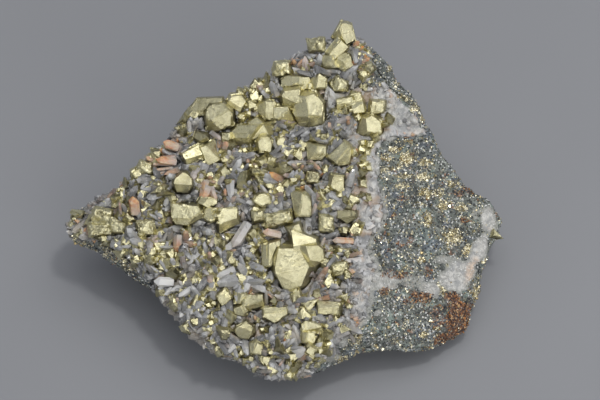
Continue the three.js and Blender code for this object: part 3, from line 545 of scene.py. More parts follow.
QUARTZ_NODES = [
    "long_quartz_crystal", "white_quartz_crystal", "pink_quartz_crystal", "rusty_quartz_crystal",
    "orange_spray_crystal", "upper_spray_crystal", "band_quartz_crystal", "tan_quartz_crystal",
]
BRASS_NODES = sorted(set(NODES) - set(QUARTZ_NODES) - {"host_rock", "quartz_crust"})


def tree_of(names):
    """Search tree of the named solids, in show-face millimetres."""
    points, faces = [], []
    for name in names:
        triangles = to_show(triangles_of(NODES[name].data))
        base = sum(map(len, points))
        points.append(triangles.reshape(-1, 3))
        faces += (np.arange(len(triangles) * 3).reshape(-1, 3) + base).tolist()
    return BVHTree.FromPolygons(np.concatenate(points).tolist(), faces)


ground = tree_of(["host_rock", "quartz_crust"])
crust_tree = tree_of(["quartz_crust"])
crystal_tree = tree_of(BRASS_NODES + QUARTZ_NODES)
clear_tree = tree_of(QUARTZ_NODES)
TOP = 60.0  # rays towards the show face start this far out of it, in millimetres


def level(tree, u, v):
    """Height of the front surface at a place on the show face, or None beside the specimen."""
    hit = tree.ray_cast(Vector((u, v, TOP)), Vector((0, 0, -1)))
    return hit[0].z if hit[0] else None


# ---- Host rock ----


def fine_mesh(node, voxel):
    """A node's own shape as an even, fine mesh."""
    work = linked("work", NODES[node].data.copy())
    remesh(work, voxel)
    made = work.data
    bpy.data.objects.remove(work)
    return made


def normals_of(mesh):
    """The way each vertex faces."""
    normals = np.empty(len(mesh.vertices) * 3, dtype=np.float32)
    mesh.vertex_normals.foreach_get("vector", normals)
    return normals.reshape(-1, 3).astype(float)


GROUND_VOXEL = 0.62  # how close the vertices lie on the rock and the crust, in millimetres
SEAM = 2.5  # how near the crust the rock's relief starts to even out, in millimetres


def host_rock():
    """The broken rock: hackly and granular, smoother where it is quartz, flat where it rests."""
    mesh = fine_mesh("host_rock", GROUND_VOXEL)
    points, normals = vertices_of(mesh), normals_of(mesh)
    show, out = to_show(points), normals @ OUT
    marks = patch_marks(show, out, "white", "rust", "brass", "dark", "peach")
    white = marks["white"]
    hackly = 0.55 * fractal(points, 7.0, 4) - 0.5 * np.abs(fractal(points + 50, 3.2, 3))
    granular = 0.42 * (0.5 - cells(points, 1.5)) + 0.22 * fractal(points + 9, 1.1, 2)
    lift = hackly * (1 - 0.3 * white) + granular * (1 - 0.8 * white) + 0.7 * white
    seam = np.array([crust_tree.find_nearest(Vector(p), SEAM)[3] is not None for p in show])
    reach = np.array([crust_tree.find_nearest(Vector(p))[3] for p in show[seam]])
    lift[seam] += (0.5 - lift[seam]) * smooth(SEAM, 0.5, reach)
    beside = show[seam]
    quartzy = 0.6 * smooth(SEAM, 0.3, reach) * smooth(10, 16, beside[:, 0]) * smooth(7, 1, beside[:, 1])
    white[seam] = np.maximum(white[seam], quartzy)
    off_base = smooth(0.05, 2.5, points[:, 2])
    points = points + normals * (lift * off_base)[:, None]
    points[:, 2] = np.maximum(points[:, 2], 0)
    move(mesh, points)
    mark(mesh, **marks)
    return place(mesh, "host_rock_broken_surface", rock_stone, ["host_rock"])


def quartz_crust():
    """The crust that the small crystals stand on: rough, with pits between them and massive parts."""
    mesh = fine_mesh("quartz_crust", GROUND_VOXEL)
    points, normals = vertices_of(mesh), normals_of(mesh)
    show, out = to_show(points), normals @ OUT
    marks = patch_marks(show, out, "white", "brass", "dark", "peach")
    stain = 0.5 + 0.5 * fractal(points + 70, 9.0, 2)
    rocky = rockiness(show)
    massive = massiveness(show, marks["white"])
    pits = smooth(0.05, 0.5, fractal(points + 15, 3.4, 2)) * (1 - massive) * (1 - rocky)
    rough = 0.5 * fractal(points, 2.6, 3) + 0.7 * (0.45 - cells(points, 1.7))
    lift = rough * (1 - 0.4 * massive) - 0.3 + 0.45 * massive - 1.6 * pits
    move(mesh, points + normals * (lift * smooth(-0.3, 0.2, out))[:, None])
    # `deep` is painted shade, darkest where the surface is pushed furthest into its pits.
    mark(mesh, **marks, stain=stain, deep=0.75 * smooth(-0.4, -1.6, lift), rocky=rocky)
    return place(mesh, "quartz_crust_surface", crust_quartz, ["quartz_crust"])


# ---- Directions ----


def turned(rng):
    """A random rotation."""
    w, x, y, z = unit(rng.normal(size=4))
    return np.array([
        [1 - 2 * (y * y + z * z), 2 * (x * y - z * w), 2 * (x * z + y * w)],
        [2 * (x * y + z * w), 1 - 2 * (x * x + z * z), 2 * (y * z - x * w)],
        [2 * (x * z - y * w), 2 * (y * z + x * w), 1 - 2 * (x * x + y * y)],
    ])


def frame_of(axis, rng):
    """Two directions square to an axis, turned at random about it."""
    axis = unit(axis)
    side = unit(np.cross(axis, unit(rng.normal(size=3))))
    return side, np.cross(axis, side)


# ---- Chalcopyrite crystals ----


def body_of_planes(normals, reaches):
    """Corners and faces of the convex body that planes at these reaches from its centre enclose."""
    corners = []
    for trio in combinations(range(len(normals)), 3):
        rows = normals[list(trio)]
        if abs(np.linalg.det(rows)) < 1e-3:
            continue
        corner = np.linalg.solve(rows, reaches[list(trio)])
        if np.all(normals @ corner <= reaches + 1e-6):
            if all(np.linalg.norm(corner - c) > 1e-3 for c in corners):
                corners.append(corner)
    corners = np.array(corners).reshape(-1, 3)
    faces = []
    for normal, reach in zip(normals, reaches):
        on = np.flatnonzero(np.abs(corners @ normal - reach) < 1e-5)
        if len(on) < 3:
            continue
        side = unit(np.cross(normal, [0.31, 0.87, 0.38]))
        about = corners[on] - corners[on].mean(0)
        faces.append(on[np.argsort(np.arctan2(about @ np.cross(normal, side), about @ side))].tolist())
    return corners, faces


def facing(way, slope):
    """Direction that looks `way` degrees round the show face and slopes away from the viewer."""
    a, s = math.radians(way), math.radians(slope)
    return np.array([math.sin(s) * math.cos(a), math.sin(s) * math.sin(a), math.cos(s)])


def wedge(rng, way, slope, stretch, stretch_way, root):
    """Planes of a wedge-shaped crystal about 1 across, its broad face `way` and `slope`, `root` deep."""
    # Each face: way, slope and reach. The broad one comes first, then two that are less steep than the
    # three to five round the sides.
    faces = [(way, slope, rng.uniform(0.26, 0.34))]
    for turn in (rng.uniform(90, 150), -rng.uniform(90, 150)):
        faces.append((way + turn, rng.uniform(28, 62), rng.uniform(0.32, 0.50)))
    start = rng.uniform(0, 360)
    count = rng.integers(3, 6)
    for i in range(count):
        turn = start + (i + rng.uniform(-0.2, 0.2)) * 360 / count
        aside = math.cos(math.radians(turn - stretch_way))
        longer = 1 + (stretch - 1) * aside * aside
        faces.append((turn, rng.uniform(62, 84), rng.uniform(0.30, 0.40) * (0.7 + 0.1 * count) * longer))
    normals = np.array([facing(w, s) for w, s, _ in faces] + [[0, 0, -1]])
    return normals, np.array([r for _, _, r in faces] + [root])


SPIKY = 1.7  # a crystal of width 1 that reaches further than this from its middle is left out
STEPPED = 1.8  # crystals wider than this, in millimetres, have growth steps


def steps(normals, reaches, rng, size):
    """The same crystal with one face built out a little and cut short: a growth step on that face."""
    built = reaches.copy()
    face = rng.integers(0, 2)
    built[face] += rng.uniform(0.09, 0.22) / size
    sides = np.flatnonzero(np.abs(normals[:, 2]) < 0.5)
    for side in rng.choice(sides, min(2, len(sides)), replace=False):
        built[side] -= rng.uniform(0.08, 0.5) * abs(reaches[side])
    return built


def hillocks(heap, corners, faces, rng, count, **marks):
    """Small parallel copies of a crystal that stand out at its edges, as growth steps do."""
    middle = corners.mean(0)
    for _ in range(count):
        face = faces[rng.integers(len(faces))]
        k = rng.integers(len(face))
        share = rng.random()
        at = share * corners[face[k]] + (1 - share) * corners[face[(k + 1) % len(face)]]
        scale = rng.uniform(0.08, 0.32)
        out = unit(at - middle) * rng.uniform(0.02, 0.10) * np.linalg.norm(corners - middle, axis=1).mean()
        heap.add(at + scale * (corners - at) + out, faces, **marks)


def add_crystal(heap, rng, centre, size, way, slope, stretch, stretch_way, root, tone):
    """A chalcopyrite crystal with its growth steps and the smaller ones grown on in parallel."""
    normals, reaches = wedge(rng, way, slope, stretch, stretch_way, root / size)
    bodies = [(np.zeros(3), 1.0, reaches)]
    if size > STEPPED:
        for _ in range(rng.integers(1, 3)):
            bodies.append((np.zeros(3), 1.0, steps(normals, reaches, rng, size)))
        for _ in range(rng.integers(1, 4)):
            turn = rng.uniform(0, 360)
            out = facing(turn, 90) * reaches[:-1].mean() * rng.uniform(0.7, 1.2)
            bodies.append((out + [0, 0, rng.uniform(-0.2, 0.02)], rng.uniform(0.3, 0.62), reaches))
    for k, (shift, share, reach) in enumerate(bodies):
        corners, faces = body_of_planes(normals, reach)
        if len(corners) < 4 or np.linalg.norm(corners[:, :2], axis=1).max() > SPIKY * stretch:
            continue
        body = to_row((corners * share + shift) * size + centre)
        heap.add(body, faces, tone=tone)
        if k == 0:
            hillocks(heap, body, faces, rng, 2 + int(1.5 * size), tone=tone)


def clean_facets(work):
    """Flat faces made whole again."""
    bmesh.ops.remove_doubles(work, verts=work.verts, dist=0.01 * MM)
    flat = math.radians(0.6)
    bmesh.ops.dissolve_limit(
        work, angle_limit=flat, verts=work.verts, edges=work.edges, use_dissolve_boundaries=False
    )
    work.verts.index_update()


def facets_of(node):
    """A solid's corners and its flat faces."""
    work = bmesh.new()
    work.from_mesh(NODES[node].data)
    clean_facets(work)
    corners = np.array([v.co for v in work.verts]) / MM
    faces = [[v.index for v in f.verts] for f in work.faces]
    work.free()
    return corners, faces


def terrace(heap, ring, rng, **marks):
    """A growth step on a flat convex face: the face again, a little higher and cut short on one side."""
    normal = unit(np.cross(ring[1] - ring[0], ring[2] - ring[1]))
    along = np.roll(ring, -1, 0) - ring
    if np.any(np.cross(along, np.roll(along, -1, 0)) @ normal < -1e-6):
        return
    middle = ring.mean(0)
    outward = unit(np.cross(along, normal))
    reach = np.einsum("ij,ij->i", ring - middle, outward)
    if reach.min() < 0.6:
        return
    inset = np.full(len(ring), 0.10)
    short = rng.integers(len(ring))
    inset[short] = rng.uniform(0.25, 1.5) * reach[short]
    if rng.random() < 0.5:
        inset[(short + 1) % len(ring)] = rng.uniform(0.15, 0.8) * reach[(short + 1) % len(ring)]
    height = rng.uniform(0.10, 0.24)
    sides = unit(outward + 0.35 * normal)
    lean = np.einsum("ij,ij->i", sides, outward)
    normals = np.concatenate([[normal, -normal], sides])
    reaches = np.concatenate([[height, 0.08], (reach - inset) * lean])
    corners, faces = body_of_planes(normals, reaches)
    if len(corners) >= 4:
        heap.add(corners + middle, faces, **marks)


# Packed crystals with fine, broken faces, and how dull a crystal is where that isn't left to chance.
BROKEN_NODES = [
    "left_crest_crystal", "high_crystal", "star_crystal", "tip_notch_crystal", "mixed_crystal",
    "east_crystal", "tip_crystals", "broken_crystals", "crest_crystal", "left_rim_crystal",
]
DULLNESS = {
    "olive_crystal": 0.9, "dull_crystal": 1.0, "dark_crystal": 0.8, "rim_plate_crystal": 0.6,
    "hollow_crystals": 0.4, "upper_edge_crystal": 0.3, "great_lower_crystal": 0.45, "round_crystal": 0.5,
    "smooth_crystal": 0.75,
}
CLEAN_NODES = ["smooth_crystal", "great_lower_crystal"]  # these have no growth steps
SKIN_VOXEL = 0.2  # how close the vertices lie on a broken crystal, in millimetres
HILLOCKS = 13  # on each packed crystal
SOFT_EDGE = 0.05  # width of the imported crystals' bevels, in millimetres


def skinned(piece, seed):
    """The piece as one uneven skin of fine growth steps, with chips out of it.

    Gives back how deep each point lies below the even faces, in millimetres.
    """
    remesh(piece, SKIN_VOXEL)
    mesh = piece.data
    points, normals = vertices_of(mesh), normals_of(mesh)
    where = points + seed * 13.0
    ledges = np.round(4 * fractal(where + 40, 1.5, 3)) / 4
    chips = smooth(0.2, 0.55, fractal(where + 80, 2.4, 3))
    lift = 0.18 * ledges + 0.05 * fractal(where, 0.6, 2) - 0.35 * chips
    move(mesh, points + normals * lift[:, None] + 0.12 * drift(where, 1.0))
    return -lift


def large_crystals():
    """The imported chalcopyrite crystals, with growth steps on their faces and edges."""
    rng = np.random.default_rng(LARGE_SEED)
    for seed, node in enumerate(BRASS_NODES):
        corners, faces = facets_of(node)
        broken = node in BROKEN_NODES
        tone = DULLNESS.get(node, rng.uniform(0, 0.4))
        heap = Heap("tone")
        heap.add(corners, faces, tone=tone)
        if node not in CLEAN_NODES:
            for face in faces:
                for _ in range(rng.integers(0, 4)):
                    terrace(heap, corners[face], rng, tone=tone)
            hillocks(heap, corners, faces, rng, HILLOCKS, tone=tone)
        bevel = 0.0 if broken else SOFT_EDGE
        piece = heap.piece(node + "_surface", "chalcopyrite", chalcopyrite, bevel, [node])
        if broken:
            depth = skinned(piece, seed)
            # Painted shade: the colour is darker where the skin lies deeper, in its chips and below its
            # steps.
            mark(piece.data, tone=tone + 0.6 * smooth(0.05, 0.4, depth))


# How a crystal's broad face takes the light, as the way it looks and its slope on the show face.
BRIGHT = [(-50, 14), (20, 22), (-10, 16), (5, 12), (60, 18), (-60, 16), (100, 22), (30, 20), (-30, 20)]
DULL = [(180, 32), (-115, 45), (150, 40), (-160, 40), (-100, 50), (200, 30), (-90, 42)]

# Chalcopyrite crystals too small for solids of their own, seen clearly: u, v, width, how they take the
# light and, for the long ones, how much longer than wide and which way.
SMALL_CHALCOPYRITE = [
    (0.7, 13, 3.4, BRIGHT, 1.8, 5), (0.3, 8.1, 2.2, BRIGHT, 1.7, 0), (-3.3, 8.3, 2.6, DULL, 1.8, 90),
    (-0.5, 7.9, 2.8, DULL, 1.5, 5), (3.3, 10, 2.2, BRIGHT), (5, 17, 1.6, BRIGHT),
    (14.5, 18.5, 2.2, DULL, 1.5, 10), (18.8, 13, 2.4, DULL), (14.9, 1.4, 1.8, BRIGHT),
    (12.4, -1.4, 2.4, BRIGHT, 1.8, 60), (20.8, 9.5, 2, BRIGHT), (21.2, 7.5, 2.2, DULL),
    (21.2, 4.7, 2.4, BRIGHT), (22.8, 0.4, 2, BRIGHT), (24.8, 17, 2.5, DULL), (23.2, 15.4, 2.4, BRIGHT),
    (21.2, 15.8, 1.8, BRIGHT), (16.9, -14.6, 2.4, BRIGHT), (12.5, -15.4, 2, DULL),
    (-19.6, -11.4, 3.2, BRIGHT), (-8.6, -13.6, 3, BRIGHT), (-20.7, -24, 3.7, BRIGHT, 1.1, 90),
    (-15, -32.2, 3.4, DULL), (13.8, -32.9, 2.4, BRIGHT), (1.6, -35.4, 2.6, DULL),
    (4.8, -31.6, 2.6, BRIGHT, 1.8, 0), (-4.6, -39.8, 2.8, BRIGHT), (-5.5, -43.3, 2.6, BRIGHT, 1.5, 0),
    (-6.9, -36.9, 1.7, BRIGHT, 1.4, 0), (-4.9, -35.4, 2, DULL, 1.4, 90), (0.2, -41.4, 2.4, BRIGHT),
    (-1.2, -44.6, 2.8, BRIGHT), (-14.1, -40.8, 1.6, BRIGHT), (-12, -41.6, 2.2, BRIGHT),
    (10.8, -17.2, 2.2, BRIGHT, 1.5, 20), (17, -20.5, 2, BRIGHT), (11.9, -22.5, 3, BRIGHT, 1.2, 20),
    (12.1, -19.8, 1.7, BRIGHT), (16, -26.6, 3, BRIGHT), (17.2, -29.2, 1.6, BRIGHT),
    (-21, -35.4, 1.6, BRIGHT, 1.5, 0), (-18.2, -35.4, 2.1, BRIGHT, 1.4, 20), (-15.4, -35.6, 1.8, DULL),
    (-21.2, -29, 2.2, BRIGHT), (-23, -31.3, 2.4, DULL), (-23.2, -22.7, 1.9, BRIGHT, 1.4, 90),
    (-18, -20.3, 1.6, BRIGHT, 2.4, 5), (-6.5, -19.4, 2.8, DULL, 1.3, 90),
    (-14.5, 12, 1.7, BRIGHT, 1.6, 90), (-17, 11, 1.9, BRIGHT, 1.2, 90), (-2, 19.4, 2, DULL),
    (-14.8, 21, 1.7, BRIGHT), (-16.4, 17.4, 3, BRIGHT), (-7.2, 6, 2.2, BRIGHT, 1.3, 10),
    (-4.8, 4, 2, BRIGHT, 1.5, 10), (-2, 1.2, 1.7, BRIGHT), (-12.2, 5.1, 3.8, DULL, 1.35, 95),
    (-17, 7.5, 3.8, BRIGHT), (-7.2, 10.6, 2.6, BRIGHT, 1.6, 5), (-0.4, 12.2, 2.4, DULL, 1.5, 5),
    (-1.3, 16.1, 3.3, BRIGHT), (-36.1, 12.6, 3, BRIGHT), (-8.8, 28.6, 3.4, BRIGHT), (-5.2, 32.2, 3, DULL),
    (-52.5, -9.2, 3.6, DULL, 1.2, 0), (-57, -8.6, 2.8, DULL), (-44.2, -11.6, 3.4, BRIGHT, 1.1, 0),
    (-36.7, -14.2, 3.2, BRIGHT), (-37.4, -17, 3, DULL, 1.3, 0), (-33.8, -15, 2.2, BRIGHT),
    (-32.2, -17.6, 3, DULL), (-30.8, -20.6, 2.8, DULL, 1.7, 5), (-35.8, -1.6, 3, DULL, 1.2, 30),
    (-43.6, -1.2, 2.4, DULL, 1.6, 80), (-38.3, 3, 2.2, BRIGHT, 1.6, 0), (-35, 2.8, 2, BRIGHT),
    (-31.1, 0.4, 1.9, BRIGHT, 1.9, 95), (-26, 23.6, 3, BRIGHT, 1.25, 0), (-28.6, 18.2, 2.8, DULL),
    (24.4, 24, 2.4, BRIGHT), (5.5, 41.3, 1.8, BRIGHT, 2.8, 35), (-12.7, 29.6, 2.4, BRIGHT, 1.2, 0),
    (-9.6, 26.6, 3.2, BRIGHT), (16, -8.4, 2.4, BRIGHT), (16.2, 24.4, 2.6, DULL), (20.2, 23, 2.2, BRIGHT),
    (-41.4, 6.9, 2.8, BRIGHT, 1.5, 50), (-12.9, -30.6, 2.6, BRIGHT), (6.6, -41.2, 3.2, BRIGHT),
    (9.6, -38.6, 2.4, DULL), (-8.4, -2.9, 2.4, BRIGHT), (-9.4, -13.8, 2, BRIGHT),
    (57.8, -9.4, 2.2, BRIGHT, 1.4, 15), (-55.6, -2.6, 2.8, DULL), (-47.4, 0.2, 2.8, DULL),
    (-24.6, -10.4, 2.6, BRIGHT), (-27.8, -22.6, 2.4, BRIGHT), (-16.8, -14.8, 2, DULL),
    (20.4, 40.6, 1.4, BRIGHT), (21.8, 37.6, 1.2, BRIGHT), (19.8, 39.2, 1.3, BRIGHT, 1.2, 40),
    (22.6, 39.6, 1.1, BRIGHT), (21.2, 42.4, 1.2, BRIGHT), (19.4, 35.4, 2.4, BRIGHT),
    (21.4, 31.8, 2.4, BRIGHT), (28.8, 22.2, 2.4, DULL), (27.6, 21, 1.6, DULL), (10.4, 17.4, 2, BRIGHT),
    (3.2, 3.4, 2.8, DULL), (0.2, 4.4, 2.4, BRIGHT, 1.2, 30), (10.8, 8.6, 2.2, BRIGHT),
    (18.2, 8.4, 2, DULL), (-10.2, 14.6, 2.2, DULL), (-12.6, 22.8, 2, BRIGHT), (-4.4, -9.2, 2, DULL),
    (-33.6, 20.4, 2.6, BRIGHT), (-37.4, 9, 2, BRIGHT), (-13.4, -17.6, 2.2, BRIGHT), (-12, -24, 2.4, DULL),
    (2.8, -26.4, 2.6, BRIGHT, 1.2, 20), (8.4, -25.8, 2.4, BRIGHT), (-1.6, -36.6, 2.2, BRIGHT),
    (3.2, -44.8, 2.2, DULL), (-9.8, -43.6, 2.2, BRIGHT), (9.6, 2, 1.9, BRIGHT), (11.2, 2.7, 2.2, BRIGHT),
    (-17.6, -18.6, 1.8, BRIGHT, 1.3, 0), (-18.3, -22.8, 2, BRIGHT, 1.5, 0),
    (-6.3, -21.3, 1.2, BRIGHT, 2.2, 0), (1.8, -31, 2, BRIGHT), (7.2, -30.9, 2, DULL, 1.3, 0),
    (-30, -26, 1.8, BRIGHT), (-28.3, -27.8, 1.6, DULL), (-26.4, -29.4, 1.9, BRIGHT),
    (-25, -30.6, 1.5, DULL), (-22.6, -33, 1.8, BRIGHT), (-14, -42, 1.8, BRIGHT), (-11.8, -43, 1.6, DULL),
    (-11.6, 26.2, 1.6, BRIGHT), (-8.4, 26.6, 1.4, DULL), (-7.4, 28.2, 1.6, BRIGHT, 1.2, 60),
    (-11.4, 28.4, 1.5, DULL), (-9.8, 30.4, 1.7, BRIGHT), (-7.2, 30.2, 1.3, DULL), (-36.6, -8.8, 2, DULL),
    (32.2, 23.6, 1.7, BRIGHT, 1.4, 100), (-49.6, -5.6, 2.2, BRIGHT), (-50.4, -10.8, 2, BRIGHT),
    (-46.2, -7.2, 2, DULL),
]
STAND = 0.9  # height of a small crystal's middle above the crust, before a tenth of its width is added
BED = 0.5  # how much further down than the crust a small crystal reaches
RANDOM_CHALCOPYRITE = 440
MOST_TRIES = 12000  # the scattering stops here if there is no room for them all
SCATTER_U, SCATTER_V = (-60, 32), (-48, 45)  # where they are tried on the show face
BESIDE = 0.6  # share of them tried beside a crystal that is there
APART = 0.36  # the least distance between two, as a share of their widths together
AROUND = [(0, 0), (0.5, 0), (-0.5, 0), (0, 0.5), (0, -0.5)]  # the middle and sides of a crystal of width 1
FINE_EDGE = 0.03  # width of the small crystals' bevels, in millimetres


def grow(heap, rng, seats, u, v, width, stretch, way, looks):
    """One small chalcopyrite crystal on the crust or the rock, noted in `seats` as place and width."""
    base = level(crust_tree, u, v)
    if base is None:
        base = level(ground, u, v)
    if base is None:
        return
    turn, slope = looks[rng.integers(len(looks))]
    stand = STAND + 0.10 * width
    # Partly painted shade: a crystal whose broad face turns from the light is also given a darker colour.
    tone = rng.uniform(0.0, 0.35) if looks is BRIGHT else rng.uniform(0.1, 0.9)
    add_crystal(
        heap, rng, np.array([u, v, base + stand]), width, turn + rng.uniform(-14, 14),
        slope + rng.uniform(-5, 5), stretch, way, stand + BED, tone,
    )
    seats.append((u, v, width * math.sqrt(stretch)))


def has_room(u, v, width, seats):
    """Whether a crystal fits on the crust there: clear of packed ones, only part way into small ones."""
    if any(level(crystal_tree, u + x * width, v + y * width) for x, y in AROUND):
        return False
    if any(math.hypot(u - s[0], v - s[1]) < APART * (width + s[2]) for s in seats):
        return False
    return level(crust_tree, u, v) >= level(ground, u, v) - 0.1


def scatter(heap, rng, seats, most):
    """Small chalcopyrite crystals at random, many of them beside another, until `most` are seated."""
    tries = 0
    while len(seats) < most and tries < MOST_TRIES:
        tries += 1
        u, v = rng.uniform(*SCATTER_U), rng.uniform(*SCATTER_V)
        width = 1.0 + 1.9 * rng.random() ** 1.8
        if rng.random() < BESIDE:
            beside = seats[rng.integers(len(seats))]
            turn, away = rng.uniform(0, 2 * math.pi), 0.5 * (width + beside[2]) * rng.uniform(0.8, 1.2)
            u, v = beside[0] + away * math.cos(turn), beside[1] + away * math.sin(turn)
        thin = 0.6 * smooth(6, 22, u) + 0.35 * smooth(-8, -20, v) + 0.4 * smooth(22, 26, u)
        if level(crust_tree, u, v) is None or rng.random() < thin or not has_room(u, v, width, seats):
            continue
        looks = BRIGHT if rng.random() < 0.5 else DULL
        grow(heap, rng, seats, u, v, width, rng.uniform(1, 1.7), rng.uniform(0, 180), looks)


def small_crystals():
    """Chalcopyrite too small for solids of their own. Gives back their places and widths."""
    rng = np.random.default_rng(SMALL_SEED)
    seats = []
    seen, scattered = Heap("tone"), Heap("tone")
    for u, v, width, looks, *longer in SMALL_CHALCOPYRITE:
        stretch, way = longer or (1, 0)
        grow(seen, rng, seats, u, v, width, stretch, way, looks)
    scatter(scattered, rng, seats, len(SMALL_CHALCOPYRITE) + RANDOM_CHALCOPYRITE)
    seen.piece("small_chalcopyrite_crystals", "chalcopyrite", chalcopyrite, FINE_EDGE)
    scattered.piece("scattered_chalcopyrite_crystals", "chalcopyrite", chalcopyrite, FINE_EDGE)
    return seats


# ---- Quartz crystals ----

HEXAGON = np.array([(math.cos(i * math.pi / 3), math.sin(i * math.pi / 3)) for i in range(6)])
PRISM_FACES = [[i, (i + 1) % 6, (i + 1) % 6 + 6, i + 6] for i in range(6)]
PRISM_FACES += [[i + 6, (i + 1) % 6 + 6, 12] for i in range(6)] + [[5, 4, 3, 2, 1, 0]]

# How light and how stained a prism is, from its root to its tip; the dark root is painted shade where the
# prisms crowd, and the lighter tip is partly painted light.
SHADED_ROOT_TO_LIT_TIP = np.array([0.4] * 6 + [0.85] * 6 + [1.15])
STAIN_TO_TIP = np.array([0.15] * 6 + [0.9] * 6 + [1.0])


def quartz_prism(heap, root, axis, radius, length, rng, light, stain, white):
    """A six-sided prism with a pointed end, all in the frame's millimetres."""
    side, other = frame_of(axis, rng)
    flat = rng.uniform(0.62, 1.0)
    ring = HEXAGON[:, :1] * side * radius + HEXAGON[:, 1:] * other * radius * flat
    point = radius * rng.uniform(0.8, 1.3)
    shoulders = length - point * (1 + 0.35 * np.tile([1, -1], 3) * rng.uniform(0, 1))
    shoulders = np.maximum(shoulders, 0.2 * length)
    tip = axis * length + side * radius * rng.uniform(-0.25, 0.25)
    verts = np.concatenate([ring * 1.12, ring * 0.78 + shoulders[:, None] * axis, tip[None]]) + root
    heap.add(verts, PRISM_FACES, light=light * SHADED_ROOT_TO_LIT_TIP, stain=stain * STAIN_TO_TIP, white=white)


